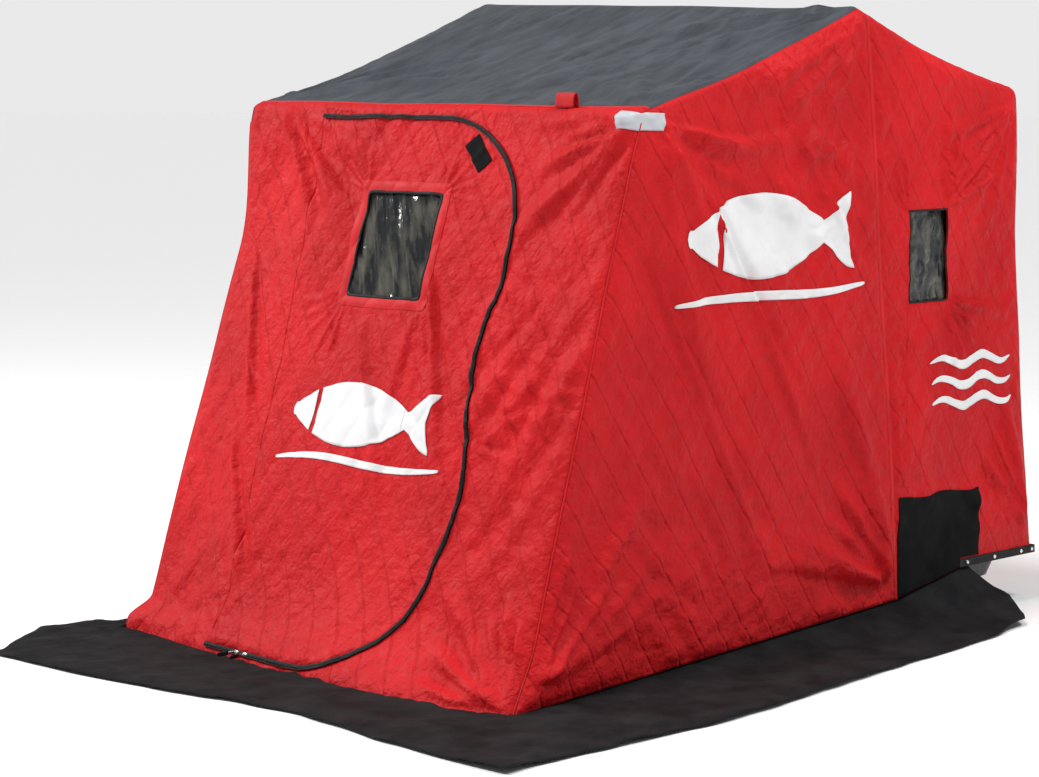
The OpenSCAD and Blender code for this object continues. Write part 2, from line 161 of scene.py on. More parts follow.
class GradientNoise:
    """Smooth noise in the plane, about -1 to 1, from a seeded table of slopes."""

    def __init__(self, seed: int) -> None:
        """Fills the table.

        Args:
            seed: picks the pattern.
        """
        turn = np.random.default_rng(seed).uniform(0, 2 * math.pi, (128, 128))
        self.slope = np.stack([np.cos(turn), np.sin(turn)], -1)

    def at(self, x: Array, y: Array) -> Array:
        """The noise: four corner slopes, mixed by the quintic 6t^5 - 15t^4 + 10t^3.

        Args:
            x: first coordinate, one unit to a cell.
            y: second coordinate.

        Returns:
            The height at each point.
        """
        xi, yi = np.floor(x).astype(int), np.floor(y).astype(int)
        xf, yf = x - xi, y - yi
        mix = lambda t: t * t * t * (t * (6 * t - 15) + 10)
        corner = lambda dx, dy: (
            self.slope[(xi + dx) % 128, (yi + dy) % 128] * np.stack([xf - dx, yf - dy], -1)
        ).sum(-1)
        low = corner(0, 0) * (1 - mix(xf)) + corner(1, 0) * mix(xf)
        high = corner(0, 1) * (1 - mix(xf)) + corner(1, 1) * mix(xf)
        return 1.5 * (low * (1 - mix(yf)) + high * mix(yf))

    def creased(self, x: Array, y: Array, size: float, turn: float, stretch: float) -> Array:
        """Creases that run along one direction: the noise's size without its sign.

        Args:
            x: first coordinate in metres.
            y: second coordinate in metres.
            size: distance between creases.
            turn: direction that they run in, in degrees.
            stretch: how many times longer than wide they are.

        Returns:
            0 in the creases, up to about 1 between them.
        """
        c, s = math.cos(math.radians(turn)), math.sin(math.radians(turn))
        return np.abs(self.at((x * c + y * s) / (size * stretch), (y * c - x * s) / size))


class Mesher:
    """Collects grids of points and makes one mesh object of them."""

    def __init__(self, name: str) -> None:
        """Starts an empty piece.

        Args:
            name: the piece's name.
        """
        self.name = name
        self.points: list[Array] = []
        self.faces: list[Array] = []
        self.marks: list[Array] = []
        self.count = 0

    def grid(self, p: Array, flip: bool = False, mark: Array | None = None) -> "Mesher":
        """Adds an n by m grid whose faces look along u cross v.

        Args:
            p: the points, n by m by 3.
            flip: turns the faces round.
            mark: a pair of pattern coordinates for each point.

        Returns:
            This builder.
        """
        n, m = p.shape[:2]
        i = np.arange(n * m).reshape(n, m) + self.count
        quads = np.stack([i[:-1, :-1], i[1:, :-1], i[1:, 1:], i[:-1, 1:]], -1).reshape(-1, 4)
        self.faces.append(quads[:, ::-1] if flip else quads)
        self.points.append(p.reshape(-1, 3))
        self.marks.append(np.zeros((n * m, 2)) if mark is None else mark.reshape(-1, 2))
        self.count += n * m
        return self

    def build(self, *finishes: "Finish", merge: bool = True) -> bpy.types.Object:
        """Makes the object, with merged doubles and smooth faces.

        Args:
            finishes: the finishes of its slots.
            merge: joins points that lie together, as where a band closes.

        Returns:
            The new object, at the origin.
        """
        points, faces = np.concatenate(self.points), np.concatenate(self.faces)
        corner_marks = np.concatenate(self.marks)[faces]
        if merge:
            _, first, back = np.unique(
                np.round(points, 6), axis=0, return_index=True, return_inverse=True
            )
            points, faces = points[first], back.reshape(-1)[faces]
        ordered = np.sort(faces, axis=1)
        good = (np.diff(ordered, axis=1) > 0).all(axis=1)
        tris, tri_marks = [], []
        for k in np.where(~good)[0]:
            keep = np.sort(np.unique(faces[k], return_index=True)[1])
            if len(keep) == 3:
                tris.append(faces[k][keep])
                tri_marks.append(corner_marks[k][keep])
        quads = int(good.sum())
        starts = np.concatenate([np.arange(quads) * 4, quads * 4 + np.arange(len(tris)) * 3])
        loops = np.concatenate([faces[good].ravel(), *tris]).astype(int)
        uv = np.concatenate([corner_marks[good].reshape(-1, 2), *tri_marks])
        mesh = bpy.data.meshes.new(self.name)
        mesh.vertices.add(len(points))
        mesh.vertices.foreach_set("co", points.astype(np.float32).ravel())
        mesh.loops.add(len(loops))
        mesh.loops.foreach_set("vertex_index", loops)
        mesh.polygons.add(len(starts))
        mesh.polygons.foreach_set("loop_start", starts.astype(int))
        mesh.polygons.foreach_set("use_smooth", np.ones(len(starts), bool))
        layer = mesh.uv_layers.new(name="Pattern")
        layer.data.foreach_set("uv", uv.astype(np.float32).ravel())
        mesh.update(calc_edges=True)
        mesh.validate()
        piece = bpy.data.objects.new(self.name, mesh)
        bpy.context.scene.collection.objects.link(piece)
        for finish in finishes:
            mesh.materials.append(finish.material)
        return piece


def thicken(piece: bpy.types.Object, thickness: float, lining: int = 0) -> bpy.types.Object:
    """Gives a sheet its thickness, on the inner side.

    Args:
        piece: the sheet.
        thickness: in metres.
        lining: how many slots further the inner side's material is.

    Returns:
        The same piece.
    """
    solid = piece.modifiers.new("thickness", "SOLIDIFY")
    solid.thickness, solid.offset, solid.use_even_offset = thickness, -1, False
    solid.material_offset = lining
    return piece


def bake(piece: bpy.types.Object) -> bpy.types.Object:
    """Applies a piece's modifiers.

    Args:
        piece: the piece.

    Returns:
        The same piece, its mesh final.
    """
    live = bpy.context.evaluated_depsgraph_get()
    shape = bpy.data.meshes.new_from_object(piece.evaluated_get(live))
    piece.modifiers.clear()
    piece.data = shape
    return piece


# ---- finishes ----


class Graph:
    """A short hand for a material's nodes."""

    def __init__(self, name: str, colour: tuple[float, float, float], rough: float) -> None:
        """Makes the material with its shader.

        Args:
            name: the material's name.
            colour: base colour.
            rough: roughness.
        """
        self.material = bpy.data.materials.new(name)
        self.material.use_nodes = True
        self.tree = self.material.node_tree
        self.shader = next(n for n in self.tree.nodes if n.type == "BSDF_PRINCIPLED")
        self.set(**{"Base Color": (*colour, 1), "Roughness": rough})
        self.place = self.node("ShaderNodeTexCoord").outputs["Object"]

    def set(self, **values: object) -> None:
        """Sets the shader's own sockets by name, underlines standing for spaces."""
        for name, value in values.items():
            self.shader.inputs[name.replace("_", " ")].default_value = value

    def node(self, kind: str, **inputs: object) -> bpy.types.Node:
        """A node with its inputs set or linked.

        Args:
            kind: Blender's name of the node.
            inputs: socket names with values, sockets to link, or the node's own properties.

        Returns:
            The node.
        """
        made = self.tree.nodes.new(kind)
        for name, value in inputs.items():
            if hasattr(made, name) and not isinstance(value, bpy.types.NodeSocket):
                setattr(made, name, value)
                continue
            name = name.replace("_", " ").strip()
            key = int(name[1:]) if name[0] == "i" and name[1:].isdigit() else name
            if isinstance(value, bpy.types.NodeSocket):
                self.tree.links.new(value, made.inputs[key])
            else:
                made.inputs[key].default_value = value
        return made

    def noise(
        self, scale: float, detail: float = 2, rough: float = 0.5, where: object = None
    ) -> object:
        """Noise over the piece.

        Args:
            scale: cells to a metre.
            detail: how many finer layers are added.
            rough: how strong they are.
            where: the coordinates, or None for the object's own.

        Returns:
            The value's socket.
        """
        made = self.node(
            "ShaderNodeTexNoise",
            Vector=where or self.place,
            Scale=scale,
            Detail=detail,
            Roughness=rough,
        )
        return made.outputs["Fac"]

    def math(self, kind: str, a: object, b: object = 0.0) -> object:
        """One sum: kind is the node's operation, and a and b are values or sockets."""
        return self.node("ShaderNodeMath", operation=kind, i0=a, i1=b).outputs[0]

    def ramp(
        self, value: object, low: float, high: float, start: float = 0.0, end: float = 1.0
    ) -> object:
        """A value carried from one range to another and held there.

        Args:
            value: the socket.
            low: the value that gives start.
            high: the value that gives end.
            start: the lowest result.
            end: the highest result.

        Returns:
            The result's socket.
        """
        return self.node(
            "ShaderNodeMapRange",
            Value=value,
            From_Min=low,
            From_Max=high,
            To_Min=start,
            To_Max=end,
        ).outputs["Result"]

    def blend(self, share: object, one: tuple, two: object) -> object:
        """A colour between two.

        Args:
            share: the socket or value that picks the second.
            one: the first colour, or a socket.
            two: the second colour, or a socket.

        Returns:
            The colour's socket.
        """
        made = self.tree.nodes.new("ShaderNodeMix")
        made.data_type = "RGBA"
        for key, value in ((0, share), (6, one), (7, two)):
            if isinstance(value, bpy.types.NodeSocket):
                self.tree.links.new(value, made.inputs[key])
            else:
                made.inputs[key].default_value = (*value, 1) if isinstance(value, tuple) else value
        return made.outputs[2]

    def colour(self, socket: object) -> None:
        """Links a colour to the shader."""
        self.tree.links.new(socket, self.shader.inputs["Base Color"])

    def link(self, name: str, socket: object) -> None:
        """Links a socket to one of the shader's."""
        self.tree.links.new(socket, self.shader.inputs[name])

    def bump(self, *layers: tuple[object, float]) -> None:
        """Adds bump layers, each a height's socket and its depth in metres."""
        normal = None
        for height, depth in layers:
            made = self.node("ShaderNodeBump", Height=height, Distance=depth, Strength=1.0)
            if normal is not None:
                self.tree.links.new(normal, made.inputs["Normal"])
            normal = made.outputs["Normal"]
        self.link("Normal", normal)


@dataclass(frozen=True)
class QuiltedCloth:
    """Coated cloth quilted in diamonds, whose stitched lines follow the pattern coordinates, with
    painted shade darkening the colour along their grooves.
    """

    name: str
    light: tuple[float, float, float]
    dark: tuple[float, float, float]
    rough: float = 0.6
    stitch_depth: float = 0.0026
    crumple_depth: float = 0.014
    sheen: float = 0.04

    def make(self) -> bpy.types.Material:
        """Builds the material.

        Returns:
            The material.
        """
        g = Graph(self.name, self.light, self.rough)
        g.set(Specular_IOR_Level=0.20, Sheen_Weight=self.sheen, Sheen_Roughness=0.45)
        g.set(Sheen_Tint=(*[min(1.0, 0.25 + c) for c in self.light], 1))
        pattern = g.node("ShaderNodeUVMap", uv_map="Pattern").outputs[0]
        axes = g.node("ShaderNodeSeparateXYZ", Vector=pattern)
        lines = []
        for k in range(2):
            cell = g.math("ABSOLUTE", g.math("SUBTRACT", g.math("FRACT", axes.outputs[k]), 0.5))
            lines.append(g.ramp(cell, 0.42, 0.5))
        groove = g.math("MAXIMUM", lines[0], g.math("MULTIPLY", lines[1], 0.28))
        tone = g.ramp(g.noise(3.2, 5, 0.62), 0.36, 0.66)
        # Painted shade: the colour darkens along the stitched grooves, mixed with the random tone.
        shade = g.math("MULTIPLY", groove, 0.55)
        tone_and_groove_shade = g.math("MAXIMUM", g.math("SUBTRACT", 1.0, tone), shade)
        g.colour(g.blend(tone_and_groove_shade, self.light, self.dark))
        creases = g.math("ABSOLUTE", g.math("SUBTRACT", g.noise(17, 3, 0.55), 0.5))
        patchy = g.noise(40, 3, 0.6)
        g.link("Roughness", g.ramp(patchy, 0.3, 0.7, self.rough - 0.08, self.rough + 0.08))
        g.bump(
            (g.math("SUBTRACT", 1.0, groove), self.stitch_depth),
            (creases, self.crumple_depth),
            (g.noise(75, 3, 0.6), 0.0030),
            (g.noise(620, 1, 0.5), 0.0003),
        )
        return g.material


@dataclass(frozen=True)
class PlainCloth:
    """Plain coated cloth, with long soft streaks along one axis and a fine crumple; the colour
    follows the streaks' relief, with painted shade in their hollows and lighter crests.
    """

    name: str
    light: tuple[float, float, float]
    dark: tuple[float, float, float]
    rough: float = 0.7
    stretch: tuple[float, float, float] = (1, 1, 1)
    turn: float = 0.0
    scale: float = 9.0
    depth: float = 0.004
    specular: float = 0.25
    sheen: float = 0.05

    def make(self) -> bpy.types.Material:
        """Builds the material.

        Returns:
            The material.
        """
        g = Graph(self.name, self.light, self.rough)
        g.set(Specular_IOR_Level=self.specular, Sheen_Weight=self.sheen, Sheen_Roughness=0.5)
        where = g.node(
            "ShaderNodeMapping",
            Vector=g.place,
            Scale=self.stretch,
            Rotation=(0, 0, math.radians(self.turn)),
        ).outputs[0]
        streak = g.noise(self.scale, 5, 0.6, where)
        # Painted shade: the colour uses the streaks' bump height, darker in their hollows and
        # lighter on their crests.
        g.colour(g.blend(g.ramp(streak, 0.35, 0.68), self.dark, self.light))
        g.link("Roughness", g.ramp(g.noise(30, 3), 0.3, 0.7, self.rough - 0.07, self.rough + 0.07))
        g.bump(
            (streak, self.depth),
            (g.math("ABSOLUTE", g.math("SUBTRACT", g.noise(22, 3, 0.55), 0.5)), 0.0022),
            (g.noise(480, 2, 0.6), 0.0002),
        )
        return g.material


@dataclass(frozen=True)
class Vinyl:
    """Clear flexible sheet, glossy, its colour painted near black for the shade inside, with long
    faint streaks of painted reflection.
    """

    name: str = "clear_smoky_vinyl"

    def make(self) -> bpy.types.Material:
        """Builds the material.

        Returns:
            The material.
        """
        g = Graph(self.name, (0.03, 0.03, 0.03), 0.1)
        g.set(Transmission_Weight=0.2, IOR=1.45, Specular_IOR_Level=0.6)
        where = g.node(
            "ShaderNodeMapping",
            vector_type="TEXTURE",
            Vector=g.place,
            Scale=(1.0, 1.0, 5.0),
            Rotation=(0.0, math.radians(-24), 0.0),
        ).outputs[0]
        streak = g.noise(26, 4, 0.6, where)
        # Painted shade and reflection: near-black colour stands for the dark inside seen through
        # the sheet, and the lighter grey-brown streaks for reflections.
        g.colour(g.blend(g.ramp(streak, 0.44, 0.66), (0.010, 0.012, 0.014), (0.105, 0.098, 0.080)))
        g.bump((streak, 0.0015), (g.noise(60, 2), 0.0005))
        return g.material


@dataclass(frozen=True)
class Moulded:
    """Moulded or woven black stuff: a fine grain, small tone changes and worn high spots."""

    name: str
    colour: tuple[float, float, float]
    rough: float
    grain: float = 500.0
    depth: float = 0.0002
    specular: float = 0.5
    metal: float = 0.0

    def make(self) -> bpy.types.Material:
        """Builds the material.

        Returns:
            The material.
        """
        g = Graph(self.name, self.colour, self.rough)
        g.set(Specular_IOR_Level=self.specular, Metallic=self.metal)
        worn = tuple(min(1.0, c * 1.6 + 0.003) for c in self.colour)
        g.colour(g.blend(g.ramp(g.noise(14, 6, 0.68), 0.42, 0.75), self.colour, worn))
        g.link("Roughness", g.ramp(g.noise(60, 4), 0.3, 0.7, self.rough - 0.06, self.rough + 0.1))
        g.bump((g.noise(self.grain, 2, 0.6), self.depth), (g.noise(35, 2), self.depth * 3))
        return g.material


@dataclass(frozen=True)
class Printed:
    """Flexible print on cloth: white ink that lets the cloth's grain through."""

    name: str
    colour: tuple[float, float, float]
    rough: float = 0.5
    fade: float = 0.92

    def make(self) -> bpy.types.Material:
        """Builds the material.

        Returns:
            The material.
        """
        g = Graph(self.name, self.colour, self.rough)
        g.set(Specular_IOR_Level=0.2)
        dull = tuple(c * self.fade for c in self.colour)
        g.colour(g.blend(g.ramp(g.noise(9, 5, 0.6), 0.4, 0.75), self.colour, dull))
        g.bump((g.noise(70, 3, 0.6), 0.0006), (g.noise(600, 1), 0.00015))
        return g.material


class Finish(Enum):
    """Every finish on the hut."""

    RED = QuiltedCloth("red_quilted_cloth", (0.57, 0.005, 0.009), (0.44, 0.002, 0.005))
    RED_PLAIN = PlainCloth(
        "red_webbing", (0.58, 0.005, 0.009), (0.44, 0.002, 0.005), 0.6, depth=0.001
    )
    ROOF = PlainCloth(
        "grey_roof_cloth",
        (0.050, 0.058, 0.070),
        (0.024, 0.029, 0.036),
        rough=0.55,
        stretch=(3.4, 0.8, 1.0),
        turn=12.0,
        scale=6.0,
        depth=0.006,
    )
    BLACK = PlainCloth(
        "black_skirt_cloth",
        (0.019, 0.019, 0.020),
        (0.008, 0.008, 0.009),
        rough=0.85,
        specular=0.1,
        sheen=0.0,
    )
    FELT = PlainCloth(
        "black_patch_cloth",
        (0.011, 0.011, 0.011),
        (0.006, 0.006, 0.006),
        rough=0.95,
        depth=0.001,
        specular=0.1,
        sheen=0.0,
    )
    LINING = PlainCloth("dark_lining", (0.014, 0.014, 0.015), (0.008, 0.008, 0.009), 0.85)
    VINYL = Vinyl()
    TAPE = Moulded("black_coil_tape", (0.007, 0.007, 0.008), 0.5, 900.0, 0.0003, 0.2)
    SLED = Moulded("glossy_black_plastic", (0.012, 0.012, 0.013), 0.28, 420.0, 0.0003)
    STRIP = Moulded("riveted_strip", (0.010, 0.009, 0.009), 0.6, 300.0, 0.0003, 0.2)
    BRACKET = Moulded("bracket_plastic", (0.016, 0.016, 0.017), 0.4)
    TUBE = Moulded("galvanised_tube", (0.42, 0.43, 0.45), 0.36, 160.0, 0.0002, 0.5, 1.0)
    METAL = Moulded("plated_metal", (0.62, 0.62, 0.63), 0.22, 400.0, 0.0001, 0.5, 1.0)
    REFLECT = Printed("grey_reflecting_tape", (0.48, 0.50, 0.53), 0.32)
    WHITE = Printed("white_print", (0.76, 0.76, 0.77), 0.5, 0.9)
    FLOOR = Printed("pale_floor", (0.93, 0.93, 0.93), 0.9, 0.985)

    @property
    def material(self) -> bpy.types.Material:
        """The finish's material, made when it is first asked for."""
        if self not in MADE:
            MADE[self] = self.value.make()
        return MADE[self]


MADE: dict[Finish, bpy.types.Material] = {}


# ---- the hut's shape ----


@dataclass(frozen=True)
class Profile:
    """The hut's outline from front foot over the roof to the rear lip, with rounded turns.

    Points are (back, height) in metres.
    """

    corners: tuple[tuple[float, float], ...] = (
        (0.0, 0.0),
        (0.446, 1.390),
        (1.310, 1.650),
        (2.034, 1.438),
        (2.101, 0.132),
    )
    radii: tuple[float, ...] = (0.028, 0.045, 0.040)
    table: dict[str, Array] = field(default_factory=dict)

    def __post_init__(self) -> None:
        """Works out the rounded outline: straight runs joined by circles that touch both."""
        v = np.array(self.corners)
        pieces = [v[:1]]
        for k, r in enumerate(self.radii, 1):
            a, b = (v[k - 1] - v[k]), (v[k + 1] - v[k])
            a, b = a / np.linalg.norm(a), b / np.linalg.norm(b)
            half = math.acos(float(a @ b)) / 2
            mid = v[k] + (a + b) / np.linalg.norm(a + b) * r / math.sin(half)
            touch = r / math.tan(half)
            one, two = v[k] + a * touch - mid, v[k] + b * touch - mid
            t = np.linspace(0, 1, 24)[:, None]
            arc = (1 - t) * one + t * two
            pieces.append(mid + arc / np.linalg.norm(arc, axis=1)[:, None] * r)
            self.table[f"turn{k}"] = np.array(len(np.concatenate(pieces)) - 12)
        line = np.concatenate([*pieces, v[-1:]])
        run = lengths(line)
        fine = np.unique(np.concatenate([np.linspace(0, run[-1], 620), run]))
        pts = np.stack([np.interp(fine, run, line[:, k]) for k in range(2)], 1)
        way = np.gradient(pts, fine, axis=0)
        way /= np.linalg.norm(way, axis=1)[:, None]
        self.table.update(
            run=fine,
            point=pts,
            out=np.stack([-way[:, 1], way[:, 0]], 1),
            turns=np.array([run[int(self.table[f"turn{k}"])] for k in (1, 2, 3)]),
        )

    def at(self, s: Array) -> tuple[Array, Array]:
        """Point and outward direction at a length along the outline.

        Args:
            s: lengths from the foot.

        Returns:
            The points and the directions, two numbers each.
        """
        t = self.table
        read = lambda what: np.stack([np.interp(s, t["run"], t[what][:, k]) for k in range(2)], -1)
        out = read("out")
        return read("point"), out / np.linalg.norm(out, axis=-1, keepdims=True)

    def depth(self, p: Array) -> Array:
        """How far inside the outline each point is.

        Args:
            p: points (back, height), one a row.

        Returns:
            The distance to the nearest stretch of the outline, along its normal.
        """
        t, found = self.table, np.empty(len(p))
        for k in range(0, len(p), 4096):
            part = p[k : k + 4096]
            near = ((part[:, None] - t["point"][None]) ** 2).sum(-1).argmin(1)
            found[k : k + 4096] = ((t["point"][near] - part) * t["out"][near]).sum(1)
        return found

    def run_at_back(self, back: float) -> float:
        """The length along the outline at which the roof is that far back."""
        t = self.table
        roof = (t["run"] > t["turns"][0]) & (t["run"] < t["turns"][2])
        return float(np.interp(back, t["point"][roof, 0], t["run"][roof]))


@dataclass(frozen=True)
class Shell:
    """The cabin's stretched cloth as surfaces; every panel and trim lies on them."""

    half_width: float = 0.735
    side_lean: float = math.radians(1.6)
    edge_r: float = 0.022
    lip_h: float = 0.150
    seam_top: tuple[float, float] = (1.344, 1.650)
    seam_foot: tuple[float, float] = (1.454, 0.080)
    hem_lip_back: float = 1.740
    hem_low: float = 0.004
    foot_back: float = 0.0
    left_pull: float = 0.049
    right_pull: float = 0.007
    pull_reach: float = 0.27
    belly_depth: float = 0.108
    eave_flare: float = 0.011
    rear_slack: float = 0.020
    front_sag: float = 0.014
    rear_sag: float = 0.022
    ridge_crown: float = 0.011
    loose_depth: float = 0.0045
    profile: Profile = field(default_factory=Profile)
    waver: GradientNoise = field(default_factory=lambda: GradientNoise(11))

    @property
    def inset(self) -> float:
        """How far inside the sharp edge the rounded edge's middle lies, on each face."""
        return self.edge_r * (1 - math.sqrt(0.5))

    @property
    def front_lean(self) -> float:
        """The front wall's lean in radians."""
        return math.atan2(*self.profile.corners[1])

    def half(self, z: Array) -> Array:
        """Half the cabin's width at a height."""
        return self.half_width - z * math.tan(self.side_lean)

    def drop(self, d: Array) -> Array:
        """How far the rounded edge lies under the flat face, at a distance from the sharp edge.

        Args:
            d: distances in metres.

        Returns:
            The drop, r less the root of r squared less (r - d) squared.
        """
        r = self.edge_r
        return r - np.sqrt(r * r - np.clip(r - d, 0, 0.99 * r) ** 2)

    def hem(self, back: Array) -> Array:
        """Height of the side hem, two straight runs and the lip."""
        return np.interp(
            back,
            [0, self.seam_foot[0], self.hem_lip_back],
            [self.hem_low, self.seam_foot[1], self.lip_h - 0.018],
        )

    def belly(self, x: Array) -> Array:
        """How far the foot of the front wall bulges out: a sine that grows to the right."""
        grow = np.sin(np.clip((x + self.half_width) / 1.02, 0, 1) * math.pi / 2) ** 1.4
        return self.belly_depth * grow * (1 - 0.55 * ease(x, 0.58, self.half_width))

    def warp(self, p: Array) -> Array:
        """Moves points as the stretched cloth hangs: drawn-in corners, belly, sag and waver.

        Args:
            p: points of the plain shell, in metres, from the foot of the front wall.

        Returns:
            The moved points.
        """
        x, y, z = p[..., 0], p[..., 1], p[..., 2]
        move = np.zeros_like(p)
        corner_back = z * math.tan(self.front_lean)
        over_leg = z - 0.030 - 0.13 * np.maximum(y, 0)
        taper = 1 - ease(z, 1.00, 1.37)
        for side, depth in ((-1, self.left_pull), (1, self.right_pull)):
            away = np.hypot(x - side * self.half(z), y - corner_back)
            pull = depth * ease(over_leg, 0, 0.06) * taper * hump(away, self.pull_reach)
            move[..., 0] -= side * pull * math.sqrt(0.5)
            move[..., 1] += pull * math.sqrt(0.5)
            flare = hump(np.hypot(x - side * self.half(z), y - 0.446), 0.11) * hump(z - 1.39, 0.10)
            move[..., 0] += side * self.eave_flare * flare
            rear = np.hypot(x - side * self.half(z), y - 2.075)
            bow = np.sin(np.clip((z - 0.17) / 1.2, 0, 1) * math.pi)
            slack = self.rear_slack * bow * hump(rear, 0.25)
            move[..., 0] -= side * slack * 0.1
            move[..., 1] -= slack
        front = hump(y - corner_back, 0.16) * np.exp(-((np.maximum(z, 0) / 0.105) ** 1.5))
        move[..., 1] -= self.belly(np.clip(x, -self.half_width, self.half_width)) * front
        move[..., 0] += 0.014 * front * ease(x, 0.45, self.half_width)
        (y1, z1), (y2, z2), (y3, z3) = self.profile.corners[1:4]
        slopes = (
            (y1, z1, y2, z2, self.front_sag),
            (y2, z2, y3, z3, self.rear_sag),
        )
        for ya, za, yb, zb, amount in slopes:
            t = (y - ya) / (yb - ya)
            roof = za + (zb - za) * t
            sag = amount * np.sin(np.clip(t, 0, 1) * math.pi) * hump(np.maximum(roof - z, 0), 0.16)
            move[..., 2] -= sag
        lip = 0.14 * ease(y, 1.55, 1.72)
        crown = hump(y - y2, 0.36) * hump(np.maximum(z2 - z, 0), 0.30)
        move[..., 2] += self.ridge_crown * (1 - x / 0.69) * crown
        move[..., 0] += 0.012 * ease(-x, 0.45, 0.68) * crown
        loose = ease(z, 0.03 + lip, 0.20 + lip) * self.loose_depth
        move[..., 0] += loose * self.waver.at(y * 3.1 + 7.3, z * 3.1 + 1.1)
        move[..., 1] += loose * self.waver.at(x * 2.7 + 3.9, z * 2.9 + 4.2)
        move[..., 2] += loose * 0.8 * self.waver.at(x * 3.3 + 9.1, y * 3.3 + 6.4)
        return p + move

    def band(self, u: Array, s: Array, lift: Array | float = 0.0) -> Array:
        """A point of the strip that runs up the front, over the roof and down the back.

        Args:
            u: to the right of the middle, in metres.
            s: length along the outline from the front foot.
            lift: height above the cloth's mean surface.

        Returns:
            The points, in the row frame.
        """
        at, out = self.profile.at(s)
        drop = self.drop(self.half(at[..., 1]) - np.abs(u))
        base = np.stack([u, at[..., 0] - out[..., 0] * drop, at[..., 1] - out[..., 1] * drop], -1)
        moved = self.warp(base)
        moved[..., 1:] += out * np.asarray(lift)[..., None]
        moved[..., 1] += self.foot_back
        return moved

    def side(self, back: Array, h: Array, lift: Array | float = 0.0, hand: int = 1) -> Array:
        """A point of a side wall.

        Args:
            back: distance behind the foot of the front wall.
            h: height.
            lift: height above the cloth's mean surface.
            hand: 1 for the right wall, -1 for the left.

        Returns:
            The points, in the row frame.
        """
        flat = np.stack([back.ravel(), h.ravel()], 1)
        drop = self.drop(self.profile.depth(flat).reshape(back.shape))
        base = np.stack([hand * (self.half(h) - drop), back, h], -1)
        moved = self.warp(base)
        moved[..., 0] += hand * math.cos(self.side_lean) * lift
        moved[..., 2] += math.sin(self.side_lean) * lift
        moved[..., 1] += self.foot_back
        return moved


@dataclass(frozen=True)
class Fold:
    """One long soft crease in a panel's own coordinates, in metres."""

    start: tuple[float, float]
    end: tuple[float, float]
    width: float
    height: float

    def rise(self, x: Array, y: Array) -> Array:
        """The crease's height: a bell across it with a hollow on one side, fading at its ends.

        Args:
            x: first coordinate.
            y: second coordinate.

        Returns:
            The height at each point.
        """
        way = np.subtract(self.end, self.start)
        long = float(np.hypot(*way))
        way = way / long
        along = ((x - self.start[0]) * way[0] + (y - self.start[1]) * way[1]) / long
        across = (y - self.start[1]) * way[0] - (x - self.start[0]) * way[1]
        wide = self.width * (0.45 + 0.75 * np.clip(along, 0, 1))
        fade = ease(along, -0.02, 0.12) * (1 - ease(along, 0.55, 1.0))
        crest = hump(across, wide)
        hollow = hump(across - 1.7 * wide, 1.3 * wide)
        return self.height * fade * (crest - 0.7 * hollow)


def fan(
    tip: tuple[float, float],
    low: float,
    high: float,
    reach: float,
    count: int,
    height: float,
    seed: int,
) -> list[Fold]:
    """Folds that spread from one point, as cloth does where a corner pulls it.

    Args:
        tip: the point.
        low: first direction in degrees.
        high: last direction in degrees.
        reach: mean length in metres.
        count: how many folds.
        height: mean height in metres.
        seed: picks the small differences.

    Returns:
        The folds.
    """
    rng = np.random.default_rng(seed)
    turns = np.radians(np.linspace(low, high, count) + rng.uniform(-3, 3, count))
    long = reach * rng.uniform(0.55, 1.15, count)
    tall = height * rng.uniform(0.5, 1.3, count)
    gap = 0.06 * long
    return [
        Fold(
            (tip[0] + g * math.cos(a), tip[1] + g * math.sin(a)),
            (tip[0] + n * math.cos(a), tip[1] + n * math.sin(a)),
            0.055 * n,
            h,
        )
        for a, n, h, g in zip(turns, long, tall, gap)
    ]


@dataclass
class Relief:
    """A panel's own relief: quilted diamonds, folds, puckers along seams and fine crumples."""

    seed: int
    folds: list[Fold] = field(default_factory=list)
    pitch: float = 0.080
    slant: float = 56.0
    quilt: float = 0.0042
    crumple: float = 0.0150
    grain: float = 62.0
    swell: float = 0.011
    fold_gain: float = 2.6

    def __post_init__(self) -> None:
        """Makes the panel's noise."""
        self.noise = GradientNoise(self.seed)

    def pattern(self, x: Array, y: Array) -> Array:
        """The quilting's two line counts: distance across each set of lines over the pitch.

        Args:
            x: first coordinate in metres.
            y: second coordinate in metres.

        Returns:
            The two counts for each point.
        """
        c, s = math.cos(math.radians(self.slant)), math.sin(math.radians(self.slant))
        bend = 0.006 * self.noise.at(x * 4.1 + 5.5, y * 4.1 + 2.5)
        one, two = x * s + y * c + bend, x * s - y * c - bend
        return np.stack([one, two], -1) / self.pitch

    def marks(self, p: Array) -> Array:
        """The pattern at panel points, two numbers each."""
        return self.pattern(p[..., 0], p[..., 1])

    def rise(self, x: Array, y: Array, calm: Array | float = 1.0) -> Array:
        """The relief's height.

        Args:
            x: first coordinate in metres.
            y: second coordinate in metres.
            calm: share of the crumples kept, from 0 to 1.

        Returns:
            The height at each point.
        """
        count = self.pattern(x, y)
        puff = np.sqrt(np.abs(np.sin(math.pi * (count + 0.5)).prod(-1)))
        patchy = 0.55 + 0.75 * self.noise.at(x * 1.7 + 1.7, y * 1.7 + 8.3)
        n = self.noise
        wrinkle = (
            1.15 * n.creased(x + 3.1, y + 1.7, 0.105, self.grain, 2.6)
            + 0.65 * n.creased(x + 6.7, y + 5.3, 0.055, self.grain - 95, 2.2)
            + 0.28 * n.creased(x + 9.4, y + 2.9, 0.030, self.grain + 35, 1.8)
        )
        crumple = self.crumple * np.clip(patchy, 0.15, 1.3) * (wrinkle - 0.45) * calm
        height = self.quilt * (puff - 0.6) + crumple
        height = height + self.swell * n.at(x / 0.33 + 0.4, y / 0.41 + 6.2)
        for one in self.folds:
            height = height + self.fold_gain * one.rise(x, y)
        return height


